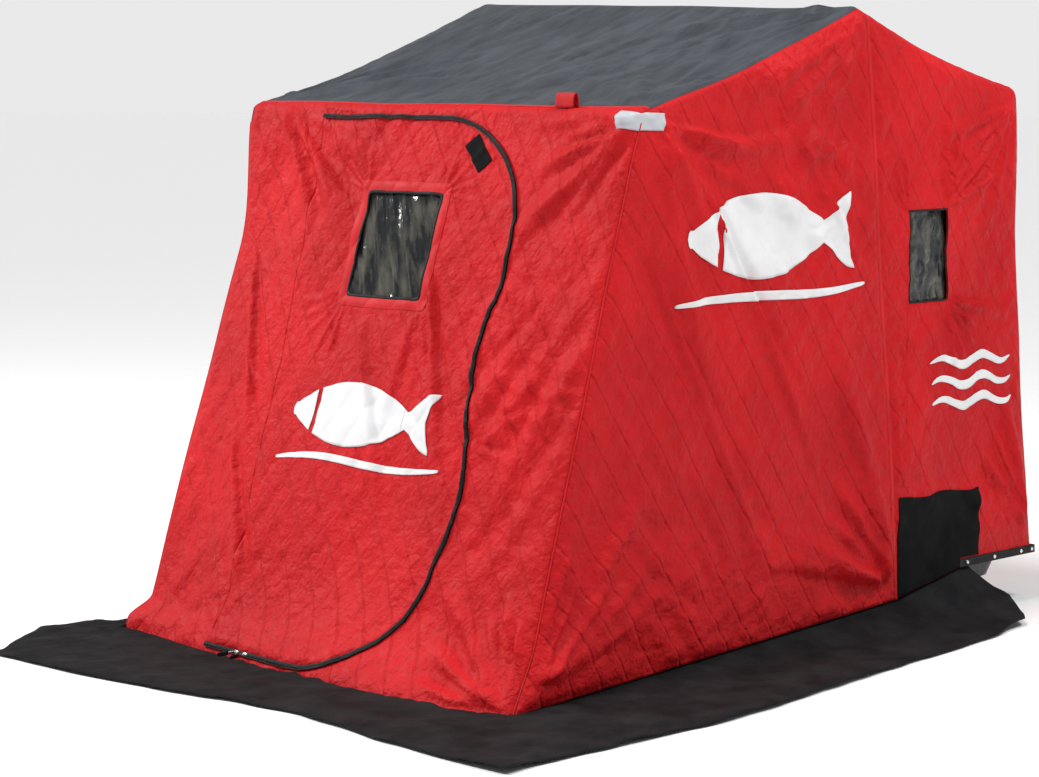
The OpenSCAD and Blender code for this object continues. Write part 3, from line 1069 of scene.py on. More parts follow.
@dataclass
class Doorway:
    """The zipped doorway's outline on the front wall, in (right, up the wall) metres."""

    top: float = 1.430
    bottom: float = 0.024
    right: float = 0.364
    hinge_top: float = -0.402
    hinge_bottom: float = -0.342
    r_top: float = 0.300
    r_bottom: float = 0.310
    wave: float = 0.025
    wave_top: float = 1.00
    wave_long: float = 0.68

    def hinge(self, v: Array) -> Array:
        """Where the sewn edge is at a height: a straight line."""
        return self.hinge_bottom + (self.hinge_top - self.hinge_bottom) * (v - self.bottom) / (
            self.top - self.bottom
        )

    def sway(self, p: Array) -> Array:
        """Moves the right side in and out in one slow wave, as the zip hangs.

        Args:
            p: points of the plain outline.

        Returns:
            The moved points.
        """
        p = p.copy()
        share = ease(p[:, 0], 0.05, 0.33)
        within = ease(p[:, 1], 0.28, 0.36) * (1 - ease(p[:, 1], 0.96, 1.04))
        phase = 2 * math.pi * (self.wave_top - p[:, 1]) / self.wave_long
        p[:, 0] -= self.wave * np.sin(phase) * share * within
        p[:, 1] += 0.012 * hump(p[:, 0] - 0.20, 0.10) * (1 - ease(p[:, 1], 0.05, 0.2))
        return p

    def sides(self) -> list[Array]:
        """The outline's bottom, right, top and left sides, each in its own direction.

        Returns:
            Four lines, going round anticlockwise, which meet in the middles of the corners.
        """
        turn = lambda a, b: np.radians(np.linspace(a, b, 24))
        arc = lambda x, y, r, a, b: np.stack(
            [x + r * np.cos(turn(a, b)), y + r * np.sin(turn(a, b))], 1
        )
        low = (self.right - self.r_bottom, self.bottom + self.r_bottom, self.r_bottom)
        high = (self.right - self.r_top, self.top - self.r_top, self.r_top)
        foot = np.array([[self.hinge(self.bottom), self.bottom]])
        head = np.array([[self.hinge(self.top), self.top]])
        straight = np.linspace([self.right, low[1]], [self.right, high[1]], 60)
        sill = np.linspace(foot[0], [low[0], self.bottom], 20)
        bottom = np.concatenate([sill, arc(*low, -90, -45)])
        right = np.concatenate([arc(*low, -45, 0), straight, arc(*high, 0, 45)])
        top = np.concatenate([arc(*high, 45, 90), np.linspace([high[0], self.top], head[0], 20)])
        return [self.sway(bottom), self.sway(right), self.sway(top), np.concatenate([head, foot])]

    def pushed(self, counts: tuple[int, int, int, int], out: float) -> list[Array]:
        """The four sides with equal steps, the zipped ones moved outwards.

        Args:
            counts: points on each side.
            out: how far, in metres, the zipped sides move.

        Returns:
            The four sides.
        """
        sides = [spaced(line, n) for line, n in zip(self.sides(), counts)]
        zipped = np.concatenate([sides[0], sides[1][1:], sides[2][1:]])
        way = np.gradient(zipped, axis=0)
        way /= np.linalg.norm(way, axis=1)[:, None]
        moved = zipped + out * np.stack([way[:, 1], -way[:, 0]], 1)
        a, b = counts[0], counts[0] + counts[1] - 1
        left = np.linspace(moved[-1], moved[0], counts[3])
        line = self.hinge(left[:, 1])
        left[:, 0] = line
        ends = [moved[:a], moved[a - 1 : b], moved[b - 1 :]]
        ends[0][0, 0], ends[2][-1, 0] = line[-1], line[0]
        return [*ends, left]


def closed(sides: list[Array]) -> Array:
    """One closed loop from sides that share their end points."""
    return np.concatenate([line[:-1] for line in sides])


def ribbon(line: Array, left: float, right: float, across: int) -> Array:
    """Panel points of a ribbon along a line.

    Args:
        line: the line in panel coordinates.
        left: reach to the left of the way along it.
        right: reach to the right.
        across: points across.

    Returns:
        The grid, along by across.
    """
    way = np.gradient(line, axis=0)
    way /= np.maximum(np.linalg.norm(way, axis=1), 1e-9)[:, None]
    side = np.stack([way[:, 1], -way[:, 0]], 1)
    t = np.linspace(-left, right, across)[None, :, None]
    return line[:, None] + side[:, None] * t


def squares(x: tuple[float, float, int], y: tuple[float, float, int]) -> tuple[Array, Array]:
    """A flat grid's two coordinates.

    Args:
        x: first value, last value and count along the first axis.
        y: the same along the second axis.

    Returns:
        Both coordinates, each an array of the grid's shape.
    """
    return np.meshgrid(np.linspace(*x), np.linspace(*y), indexing="ij")


PRINT_LIFT, PRINT_THICK, PANE_THICK = 0.0022, 0.0006, 0.0012


# ---- the pieces ----


@dataclass
class FrontWall:
    """The front wall, its zipped door, the door's window and the trims on them."""

    shell: Shell
    doorway: Doorway = field(default_factory=Doorway)
    counts: tuple[int, int, int, int] = (92, 150, 92, 164)
    wrap: float = 0.030
    cloth: float = 0.004
    window: tuple[float, float, float, float] = (-0.172, 0.955, 0.100, 1.233)
    zip_half: float = 0.0052
    bend_band: float = 0.10
    gap: float = 0.004

    def __post_init__(self) -> None:
        """Sets out the wall's folds."""
        x0, y0, x1, y1 = self.window
        folds = [
            *fan((-0.56, 1.46), -62, -22, 0.52, 6, 0.0062, 21),
            *fan((x0, y1), 95, 165, 0.20, 5, 0.0018, 22),
            *fan((x0, y0), 170, 262, 0.26, 6, 0.0018, 23),
            *fan((x1, y0), -95, -25, 0.34, 6, 0.0022, 24),
            *fan((x1, y1), -5, 80, 0.20, 4, 0.0016, 25),
            *fan((0.70, 1.43), 172, 232, 0.42, 7, 0.0066, 26),
            *fan((0.72, 0.02), 100, 172, 0.42, 6, 0.0070, 27),
            *fan((0.40, 0.60), -50, 35, 0.30, 3, 0.0020, 28),
            Fold((0.12, 1.02), (0.30, 0.52), 0.016, 0.0050),
            Fold((-0.10, 0.90), (0.16, 0.36), 0.018, 0.0045),
            Fold((-0.62, 1.05), (-0.40, 0.46), 0.016, 0.0045),
            Fold((-0.50, 0.55), (-0.28, 0.10), 0.018, 0.0050),
        ]
        self.relief = Relief(31, folds)

    def calm(self, u: Array, s: Array) -> Array:
        """Share of the crumples kept: less on the door's middle, more beside and below it."""
        right = ease(u, 0.20, 0.50)
        foot = 1 - ease(s, 0.12, 0.30)
        head = ease(s, 1.22, 1.38)
        return np.clip(0.45 + 0.85 * right + 0.8 * foot + 0.5 * head, 0, 1.35)

    def rise(self, u: Array, s: Array) -> Array:
        """The wall's relief, faded to nothing at its seams.

        Args:
            u: to the right of the middle.
            s: length up the wall.

        Returns:
            The height at each point.
        """
        at, _ = self.shell.profile.at(s)
        edge = self.shell.half(at[..., 1]) - np.abs(u) - self.shell.inset
        eave = self.shell.profile.table["turns"][0] + self.wrap - s
        fade = ease(edge, 0, 0.045) * ease(eave, 0, 0.05) * ease(s, -0.01, 0.03)
        free = self.relief.rise(u, s, self.calm(u, s)) + 0.0030
        return np.where(free < 0, -0.004 * np.tanh(-free / 0.004), free) * fade

    def lay(self, p: Array, lift: Array | float = 0.0) -> Array:
        """Panel points carried onto the wall.

        Args:
            p: points (right, up the wall).
            lift: height above the cloth.

        Returns:
            The points in the row frame.
        """
        return self.shell.band(p[..., 0], p[..., 1], self.rise(p[..., 0], p[..., 1]) + lift)

    def outline(self) -> list[Array]:
        """The wall's own four sides: foot, right edge, the wrapped head and left edge."""
        top = float(self.shell.profile.table["turns"][0]) + self.wrap
        s = np.linspace(0.004, top, 200)
        at, _ = self.shell.profile.at(s)
        edge = self.shell.half(at[:, 1]) - self.shell.inset
        right, left = np.stack([edge, s], 1), np.stack([-edge, s], 1)[::-1]
        lines = [np.stack([left[-1], right[0]]), right, np.stack([right[-1], left[0]]), left]
        return [spaced(line, n) for line, n in zip(lines, self.counts)]

    def build(self) -> list[bpy.types.Object]:
        """Builds every piece of the front.

        Returns:
            The pieces.
        """
        cloth = [self.wall(), self.door(), self.pane(), *self.window_trim()]
        return [*cloth, *self.zips(), self.tab(), *self.sliders(), self.print_on_door()]

    def wall(self) -> bpy.types.Object:
        """The cloth round the doorway, wrapped over the front bow at its head.

        Returns:
            The piece.
        """
        inner = self.doorway.pushed(self.counts, self.gap)
        p = ring(closed(inner), closed(self.outline()), 46)
        mesh = Mesher("front_wall_cloth").grid(self.lay(p), flip=True, mark=self.relief.marks(p))
        piece = thicken(mesh.build(Finish.RED, Finish.LINING), self.cloth, 1)
        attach(piece, "hut")
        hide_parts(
            "front_wall_left", "front_wall_right", "front_wall_head", "front_wall_sill"
        )
        return piece

    def blend_door(self, piece: bpy.types.Object) -> None:
        """Bakes a piece's placement into its mesh; the line of the door's sewn edge is worked out
        here but not used.

        Args:
            piece: the piece, which is final.
        """
        d = self.doorway
        mid = (d.top + d.bottom) / 2
        way = np.array([d.top - d.bottom, -(d.hinge_top - d.hinge_bottom)])
        way /= np.linalg.norm(way)
        start = np.array([d.hinge(mid), mid])
        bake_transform(piece)

    def door(self) -> bpy.types.Object:
        """The door's cloth: the band between its window and the zip.

        Returns:
            The piece.
        """
        outer = self.doorway.pushed(self.counts, -self.gap)
        p = ring(self.window_loop(), closed(outer), 44)
        mesh = Mesher("door_cloth").grid(self.lay(p), flip=True, mark=self.relief.marks(p))
        piece = bake(thicken(mesh.build(Finish.RED, Finish.LINING), self.cloth, 1))
        self.blend_door(piece)
        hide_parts("door_flap")
        return piece

    def window_loop(self, out: float = 0.0) -> Array:
        """The window's outline, its corners slightly round and its sides drawn in.

        Args:
            out: how far outside the opening.

        Returns:
            A closed loop with as many points as the doorway's.
        """
        x0, y0, x1, y1 = self.window
        x0, y0, x1, y1 = x0 - out, y0 - out, x1 + out, y1 + out
        corners = [(x0, y0), (x1, y0), (x1, y1), (x0, y1), (x0, y0)]
        sides = [np.linspace(a, b, n) for a, b, n in zip(corners, corners[1:], self.counts)]
        mid = np.array([(x0 + x1) / 2, (y0 + y1) / 2])
        loop = closed(sides)
        off = loop - mid
        half = np.array([(x1 - x0) / 2, (y1 - y0) / 2])
        near = ease(np.abs(off) / half, 0.9, 1)
        round_off = 1 - 0.020 * near.prod(axis=1, keepdims=True)
        return mid + off * round_off

    def pane(self) -> bpy.types.Object:
        """The door's clear sheet, buckled in long diagonal waves.

        Returns:
            The piece.
        """
        x0, y0, x1, y1 = self.window
        x, y = squares((x0 - 0.01, x1 + 0.01, 80), (y0 - 0.01, y1 + 0.01, 84))
        n = GradientNoise(41)
        edge = np.minimum(np.minimum(x - x0, x1 - x), np.minimum(y - y0, y1 - y)) + 0.01
        turn = math.radians(66)
        across = x * math.sin(turn) + y * math.cos(turn)
        along = y * math.sin(turn) - x * math.cos(turn)
        waves = n.at(across / 0.030 + 1.5, along / 0.26 + 3.1)
        waves = waves + 0.5 * n.at(across / 0.014, along / 0.15 + 7.7)
        lift = -0.0035 + 0.0042 * waves * ease(edge, 0, 0.035)
        piece = Mesher("door_window_vinyl").grid(self.shell.band(x, y, lift)).build(Finish.VINYL)
        thicken(piece, PANE_THICK)
        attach(piece, "door")
        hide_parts("door_window_pane")
        return piece

    def window_trim(self) -> list[bpy.types.Object]:
        """The window's sewn border and its black binding, whose black stands in partly for the
        shade at the opening's edge.

        Returns:
            The two pieces.
        """
        border = ring(self.window_loop(-0.001), self.window_loop(0.027), 8)
        t = np.linspace(0, 1, 9)[None, :]
        stitches = hump(t - 0.18, 0.06) + hump(t - 0.86, 0.06)
        lift = 0.0012 * (1 + np.sin(t * math.pi) - stitches)
        one = Mesher("door_window_border").grid(self.lay(border, lift), flip=True)
        one = one.build(Finish.RED_PLAIN)
        thicken(one, 0.0014)
        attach(one, "door")
        # Painted shade in part: a black binding strip round the opening, also standing for the
        # shade on its inner edge.
        edge = ring(self.window_loop(-0.006), self.window_loop(0.0018), 6)
        t = np.linspace(0, 1, 7)[None, :]
        lift = 0.0012 + 0.0016 * np.sin(t * math.pi)
        two = Mesher("door_window_binding").grid(self.lay(edge, lift), flip=True)
        two = two.build(Finish.TAPE)
        thicken(two, 0.0022)
        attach(two, "door")
        return [one, two]

    def zip_line(self, n: int = 760) -> Array:
        """The zip's middle line, from the hinge's foot round to its head."""
        a, b, c, _ = self.doorway.pushed((120, 200, 120, 4), 0.0)
        return spaced(np.concatenate([a, b[1:], c[1:]]), n)

    def zips(self) -> list[bpy.types.Object]:
        """Both halves of the zip: a tape with half the coil along its edge, and its ridges.

        Returns:
            The two pieces.
        """
        line, made = self.zip_line(), []
        for name, inner, outer, body, node in (
            ("zip_on_wall", 0.0001, self.zip_half, "hut", "frame_zip"),
            ("zip_on_door", -self.zip_half, -0.0001, "door", "door_zip"),
        ):
            p = ribbon(line, -inner, outer, 12)
            off = np.linspace(inner, outer, 12)[None, :]
            ridge = 0.0004 * np.cos(np.arange(len(line)) * math.pi)[:, None] * hump(off, 0.0030)
            lift = 0.0022 + 0.0030 * hump(off, 0.0034) + ridge
            lift = lift + 0.0012 * hump(np.abs(off) - self.zip_half, 0.0015)
            piece = Mesher(name).grid(self.lay(p, lift)).build(Finish.TAPE)
            piece = bake(thicken(piece, 0.0024))
            if body == "hut":
                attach(piece, body)
            else:
                self.blend_door(piece)
            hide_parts(node)
            made.append(piece)
        return made

    def tab(self) -> bpy.types.Object:
        """The black tab of hook tape near the door's upper corner.

        Returns:
            The piece.
        """
        turn, mid = -47, (0.190, 1.343)
        half_l, half_w = 0.045, 0.025
        along, across = squares((-half_l, half_l, 30), (-half_w, half_w, 18))
        p = turned(np.stack([along, across], -1), mid, turn)
        edge = np.minimum(half_l - np.abs(along), half_w - np.abs(across))
        loops = 0.0004 * np.cos(along * 900) * np.cos(across * 900)
        lift = 0.0026 - 0.0010 * hump(edge - 0.003, 0.0012) + loops
        piece = Mesher("door_tab_tape").grid(self.lay(p, lift)).build(Finish.FELT)
        thicken(piece, 0.002)
        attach(piece, "door")
        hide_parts("door_tab")
        return piece

    def sliders(self) -> list[bpy.types.Object]:
        """Two zip sliders near the zip's lower end with their pulls, as swept rounded blocks.

        Returns:
            The metal sliders and the black pulls.
        """
        line = self.zip_line()
        metal, cord = Mesher("zip_sliders"), Mesher("zip_pull_tabs")
        lean = self.shell.front_lean
        out = np.array([0, -math.cos(lean), math.sin(lean)])
        for k, (index, swing) in enumerate(((42, -0.5), (53, 0.3))):
            at = self.lay(line[index : index + 1], 0.005)[0]
            along = self.lay(line[index + 6 : index + 7], 0.005)[0] - at
            along /= np.linalg.norm(along)
            across = np.cross(out, along)
            metal.grid(block(at, along, across, out, (0.0105, 0.0065, 0.0038), 3.2))
            metal.grid(block(at + 0.004 * out, along, across, out, (0.0040, 0.0030, 0.0030), 2.6))
            hang = np.array([0.4 * swing, -0.95, -0.02 + 0.02 * k])
            hang /= np.linalg.norm(hang)
            flat = np.cross(hang, across)
            flat /= np.linalg.norm(flat)
            side = np.cross(flat, hang)
            eye = at + 0.006 * out
            metal.grid(block(eye + 0.010 * hang, hang, side, flat, (0.010, 0.0042, 0.0012), 4))
            cord.grid(block(eye + 0.034 * hang, hang, side, flat, (0.016, 0.0052, 0.0018), 5))
        one = metal.build(Finish.METAL)
        two = cord.build(Finish.TAPE)
        for piece, slot in ((one, "zip_metal"), (two, "zip_tape")):
            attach(piece, "door")
        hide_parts("zip_pulls")
        return [one, two]

    def print_on_door(self) -> bpy.types.Object:
        """The plain white print on the door: a fish over a tapering bar.

        Returns:
            The piece.
        """
        mesh = Mesher("door_print")
        for p in plain_fish((-0.010, 0.648), 0.52, 0.168, 0.0):
            mesh.grid(self.lay(p, PRINT_LIFT))
        mesh.grid(self.lay(bar((-0.29, 0.518), (0.30, 0.536), 0.020), PRINT_LIFT))
        piece = mesh.build(Finish.WHITE, merge=False)
        thicken(piece, PRINT_THICK)
        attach(piece, "door")
        return piece


def block(
    at: Array, a: Array, b: Array, c: Array, half: tuple[float, float, float], power: float
) -> Array:
    """A closed rounded block: a superellipsoid, each axis's sine or cosine to the power 2/n.

    Args:
        at: its middle.
        a: its long axis.
        b: its second axis.
        c: its third axis.
        half: half its size on each axis.
        power: n, from 2, an egg, upwards to a box.

    Returns:
        The grid of points, its poles on the long axis.
    """
    lat = np.linspace(-math.pi / 2, math.pi / 2, 13)[:, None]
    lon = np.linspace(-math.pi, math.pi, 25)[None, :]
    lon = lon * np.ones_like(lat)
    lat = lat * np.ones_like(lon)
    bent = lambda v: np.sign(v) * np.abs(v) ** (2 / power)
    x = half[0] * bent(np.sin(lat))
    y = half[1] * bent(np.cos(lat)) * bent(np.cos(lon))
    z = half[2] * bent(np.cos(lat)) * bent(np.sin(lon))
    p = at + x[..., None] * a + y[..., None] * b + z[..., None] * c
    p[:, -1] = p[:, 0]
    p[0], p[-1] = p[0, :1], p[-1, :1]
    right_handed = float(np.dot(np.cross(a, b), c)) > 0
    return p[::-1] if right_handed else p


def plain_fish(mid: tuple[float, float], long: float, tall: float, turn: float) -> list[Array]:
    """A plain fish shape: a lens-shaped body with a gap for the gill, and a forked tail.

    Args:
        mid: its middle.
        long: its length.
        tall: its height.
        turn: degrees that it is turned.

    Returns:
        Grids of panel points.
    """
    parts = []
    spans = ((0.0, 0.155, 22), (0.185, 0.80, 74), (0.80, 1.0, 26))
    for low, high, n in spans:
        t = np.linspace(low, high, n)[:, None]
        q = np.linspace(-1, 1, 23)[None, :]
        body = 0.5 * tall * np.sin(math.pi * np.clip(t / 0.86, 0, 1)) ** 0.72
        tail = 0.10 * tall + 0.36 * tall * ease(t, 0.78, 1.0)
        half = np.maximum(body, tail) * ease(t, -0.002, 0.012) + 0.0002
        bend = 0.05 * long * (1 - np.abs(q)) * ease(t, 0.86, 1.0)
        gill = ease(t, 0.185, 0.186) * (1 - ease(t, 0.2, 0.3))
        x = (t - 0.5) * long - bend + 0.012 * long * (1 - q * q) * gill
        y = half * q
        parts.append(turned(np.stack([x, y], -1), mid, turn))
    return parts


def bar(start: tuple[float, float], end: tuple[float, float], wide: float) -> Array:
    """A bar that tapers to its ends, slightly bowed.

    Args:
        start: one end.
        end: the other end.
        wide: its width in the middle.

    Returns:
        The grid of panel points.
    """
    t, q = np.linspace(0, 1, 90)[:, None], np.linspace(-0.5, 0.5, 7)[None, :]
    way = np.subtract(end, start)
    side = np.array([-way[1], way[0]]) / np.linalg.norm(way)
    thick = wide * (0.25 + 0.75 * np.sin(math.pi * t) ** 0.5)
    bow = 0.010 * np.sin(2 * math.pi * t)
    p = np.asarray(start) + way * t[..., None]
    grid = p + side * (q * thick + bow)[..., None]
    return grid[::-1][:, ::-1]


def turned(p: Array, mid: tuple[float, float], degrees: float) -> Array:
    """Points turned about the origin and moved to a middle."""
    c, s = math.cos(math.radians(degrees)), math.sin(math.radians(degrees))
    x, y = p[..., 0], p[..., 1]
    return np.stack([mid[0] + x * c - y * s, mid[1] + x * s + y * c], -1)


class Hand(Enum):
    """Which side of the hut a piece is on."""

    RIGHT = 1
    LEFT = -1


@dataclass
class SideWall:
    """One side wall: two cloth panels, a clear window, the patch and the prints."""

    shell: Shell
    front: FrontWall
    hand: Hand
    cell: float = 0.0085
    cloth: float = 0.004
    window: tuple[float, float, float, float] = (1.516, 0.870, 1.682, 1.112)

    def __post_init__(self) -> None:
        """Sets out the wall's folds."""
        seed = 60 if self.hand is Hand.RIGHT else 80
        x0, y0, x1, y1 = self.window
        main = [
            *fan((0.48, 1.37), -72, -6, 0.85, 9, 0.0082, seed + 1),
            *fan((0.04, 0.05), 20, 76, 0.62, 7, 0.0075, seed + 2),
            *fan((1.30, 1.60), 200, 262, 0.62, 6, 0.0062, seed + 3),
            *fan((1.44, 0.12), 108, 168, 0.70, 6, 0.0072, seed + 4),
            Fold((0.66, 1.20), (1.20, 0.34), 0.020, 0.0060),
            Fold((0.42, 1.10), (0.92, 0.20), 0.022, 0.0055),
            Fold((0.95, 1.42), (1.36, 0.90), 0.018, 0.0045),
        ]
        rear = [
            *fan((x0, y1), 100, 150, 0.16, 4, 0.0030, seed + 5),
            *fan((x1, y1), 20, 88, 0.30, 5, 0.0042, seed + 6),
            *fan((x1, y0), -80, -10, 0.30, 5, 0.0040, seed + 7),
            *fan((2.00, 1.40), 196, 250, 0.42, 5, 0.0050, seed + 8),
            *fan((2.06, 0.22), 104, 160, 0.45, 5, 0.0048, seed + 9),
        ]
        self.main_relief = Relief(seed + 10, main, grain=-52, crumple=0.0130)
        self.rear_relief = Relief(seed + 11, rear, grain=-60, crumple=0.0110)

    def edge_line(self, s: Array) -> Array:
        """The wall's rounded edge at lengths along the outline, in (back, height)."""
        at, out = self.shell.profile.at(s)
        return at - out * self.shell.inset

    def seam(self, n: int) -> Array:
        """The seam between the two panels, from foot to head."""
        head = self.edge_line(np.array([self.shell.profile.run_at_back(self.shell.seam_top[0])]))[0]
        return np.linspace(np.array(self.shell.seam_foot), head, n)

    def rise(self, relief: Relief, p: Array) -> Array:
        """A panel's relief, faded to nothing at its edges.

        Args:
            relief: the panel's relief.
            p: points (back, height).

        Returns:
            The height at each point.
        """
        back, h = p[..., 0], p[..., 1]
        depth = self.shell.profile.depth(p.reshape(-1, 2)).reshape(back.shape) - self.shell.inset
        foot, head = self.seam(2)
        way = (head - foot) / np.linalg.norm(head - foot)
        seam = np.abs((back - foot[0]) * way[1] - (h - foot[1]) * way[0])
        hem = h - self.shell.hem(back)
        lip = np.where(back > self.shell.hem_lip_back - 0.02, ease(h, 0.165, 0.24), 1.0)
        fade = ease(depth, 0, 0.045) * ease(seam, 0, 0.03) * ease(hem, -0.004, 0.03) * lip
        pucker = 0.0022 * relief.noise.at(h / 0.032 + 4.0, seam / 0.2) * hump(seam - 0.02, 0.03)
        ripple = relief.noise.at((back + h) / 0.034, 3.3 + depth)
        pucker = pucker + 0.0026 * ripple * hump(depth - 0.03, 0.035)
        free = relief.rise(back, h, 1.0) + 0.0060
        free = np.where(free < 0, -0.003 * np.tanh(-free / 0.003), free)
        return free * fade + pucker * ease(depth, 0, 0.02) * ease(seam, 0, 0.012) * lip

    def lay(self, relief: Relief, p: Array, lift: Array | float = 0.0) -> Array:
        """Panel points carried onto the wall.

        Args:
            relief: the panel's relief.
            p: points (back, height).
            lift: height above the cloth.

        Returns:
            The points in the row frame.
        """
        return self.shell.side(p[..., 0], p[..., 1], self.rise(relief, p) + lift, self.hand.value)

    def name(self, what: str) -> str:
        """A piece's name with its side."""
        return f"{self.hand.name.lower()}_{what}"

    def build(self) -> list[bpy.types.Object]:
        """Builds the wall's pieces.

        Returns:
            The pieces.
        """
        cloth = [self.main(), self.rear(), self.pane(), self.patch()]
        trims = [self.seam_line(), self.corner_seam(), self.reflector()]
        return [*cloth, *trims, self.prints(), self.rivets()]

    def finish(
        self, mesh: Mesher, finishes: list[Finish], thick: float, lining: int = 0
    ) -> bpy.types.Object:
        """Makes a piece of this wall, thick and on the hut.

        Args:
            mesh: its grids.
            finishes: its materials.
            thick: its thickness.
            lining: the inner side's slot offset.

        Returns:
            The piece.
        """
        piece = thicken(mesh.build(*finishes), thick, lining)
        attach(piece, "hut")
        return piece

    def main(self) -> bpy.types.Object:
        """The front panel: a patch between the corner, the roof's edge, the seam and the hem.

        Returns:
            The piece.
        """
        profile = self.shell.profile
        eave = float(profile.table["turns"][0])
        n, m = int(1.45 / self.cell), int(1.5 / self.cell)
        left = spaced(self.edge_line(np.linspace(0.004, eave, 300)), m)
        head = profile.run_at_back(self.shell.seam_top[0])
        top = spaced(self.edge_line(np.linspace(eave, head, 300)), n)
        right = self.seam(m)
        back = np.linspace(left[0, 0], right[0, 0], n)
        bottom = np.stack([back, self.shell.hem(back)], 1)
        left[0], top[-1] = bottom[0], right[-1]
        p = coons(bottom, right, top, left)
        mesh = Mesher(self.name("wall_cloth_main")).grid(
            self.lay(self.main_relief, p),
            flip=self.hand is Hand.LEFT,
            mark=self.main_relief.marks(p),
        )
        piece = self.finish(mesh, [Finish.RED, Finish.LINING], self.cloth, 1)
        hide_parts(self.name("wall_main"))
        return piece

    def rear(self) -> bpy.types.Object:
        """The rear panel, a band between its window and its edges.

        Returns:
            The piece.
        """
        shell, profile = self.shell, self.shell.profile
        turns, end = profile.table["turns"], float(profile.table["run"][-1])
        counts = tuple(int(x / self.cell) for x in (0.72, 1.35, 0.72, 1.5))
        kink = shell.hem_lip_back
        back = np.concatenate(
            [np.linspace(shell.seam_foot[0], kink, 60), np.linspace(kink, 2.10, 60)]
        )
        foot = np.stack([back, shell.hem(back)], 1)
        rear_edge = self.edge_line(np.linspace(end, turns[2], 300))
        foot[-1] = rear_edge[0]
        top = self.edge_line(np.linspace(turns[2], profile.run_at_back(shell.seam_top[0]), 300))
        seam = self.seam(300)[::-1]
        top[-1] = seam[0]
        outer = [spaced(line, n) for line, n in zip((foot, rear_edge, top, seam), counts)]
        p = ring(self.window_loop(counts), closed(outer), 48)
        mesh = Mesher(self.name("wall_cloth_rear")).grid(
            self.lay(self.rear_relief, p),
            flip=self.hand is Hand.RIGHT,
            mark=self.rear_relief.marks(p),
        )
        piece = self.finish(mesh, [Finish.RED, Finish.LINING], self.cloth, 1)
        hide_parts(self.name("wall_rear"))
        return piece

    def window_loop(self, counts: tuple[int, ...], out: float = 0.0) -> Array:
        """The window's outline in as many points as the panel's edges."""
        x0, y0, x1, y1 = np.add(self.window, (-out, -out, out, out))
        corners = [(x0, y0), (x1, y0), (x1, y1), (x0, y1), (x0, y0)]
        return closed([np.linspace(a, b, n) for a, b, n in zip(corners, corners[1:], counts)])

    def pane(self) -> bpy.types.Object:
        """The clear sheet, crumpled, behind its opening.

        Returns:
            The piece.
        """
        x0, y0, x1, y1 = self.window
        x, y = squares((x0 - 0.01, x1 + 0.01, 60), (y0 - 0.01, y1 + 0.01, 84))
        n = GradientNoise(45 + self.hand.value)
        edge = np.minimum(np.minimum(x - x0, x1 - x), np.minimum(y - y0, y1 - y)) + 0.01
        waves = n.creased(x, y, 0.05, -55, 1.8) + 0.6 * n.creased(x + 2, y, 0.03, 40, 1.5)
        waves = waves + 0.5 * n.at(x / 0.02, y / 0.05)
        lift = -0.0055 + 0.006 * (waves - 0.4) * ease(edge, 0, 0.03)
        mesh = Mesher(self.name("window_vinyl")).grid(
            self.shell.side(x, y, lift, self.hand.value), flip=self.hand is Hand.LEFT
        )
        piece = self.finish(mesh, [Finish.VINYL], PANE_THICK)
        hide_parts(self.name("window_pane"))
        self.name("wall_cloth_rear")
        # Painted shade in part: a black binding round the opening, also standing for the shade at
        # its edge.
        loop = lambda out: self.window_loop((40, 60, 40, 60), out)
        band = ring(loop(-0.002), loop(0.003), 4)
        t = np.sin(np.linspace(0, 1, 5) * math.pi)[None, :]
        trim = Mesher(self.name("window_binding")).grid(
            self.lay(self.rear_relief, band, 0.0006 + 0.0012 * t), flip=self.hand is Hand.RIGHT
        )
        binding = self.finish(trim, [Finish.TAPE], 0.0018)
        return piece

    def patch(self) -> bpy.types.Object:
        """The black patch low on the rear panel, over the legs' pivot.

        Returns:
            The piece.
        """
        front, rear, strip_top = 1.457, 1.832, 0.158
        x, t = squares((front, rear, 56), (0, 1, 40))
        share = (x - front) / (rear - front)
        low = np.where(x < self.shell.hem_lip_back, self.shell.hem(x) + 0.002, strip_top)
        top = 0.348 + 0.004 * np.sin(x * 31) - 0.004 * share
        y = low + (top - low) * t
        wob = 0.002 * np.sin(y * 60)
        p = np.stack([x + wob * share, y], -1)
        edge = np.minimum(np.minimum(x - front, rear - x), np.minimum(y - low, top - y))
        lift = 0.0030 - 0.0012 * hump(edge - 0.006, 0.002)
        mesh = Mesher(self.name("patch_cloth")).grid(
            self.lay(self.rear_relief, p, lift), flip=self.hand is Hand.LEFT
        )
        piece = self.finish(mesh, [Finish.FELT], 0.0024)
        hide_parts(self.name("patch"))
        return piece

    def seam_line(self) -> bpy.types.Object:
        """The seam between the panels: two rows of stitches in a shallow fold of cloth.

        Returns:
            The piece.
        """
        p = ribbon(self.seam(260), 0.006, 0.006, 9)
        t = np.linspace(-1, 1, 9)[None, :]
        lift = 0.0010 + 0.0010 * (1 - t * t) - 0.0012 * hump(np.abs(t) - 0.6, 0.15)
        mesh = Mesher(self.name("panel_seam")).grid(
            self.lay(self.main_relief, p, lift), flip=self.hand is Hand.RIGHT
        )
        piece = self.finish(mesh, [Finish.RED_PLAIN], 0.0012)
        return piece

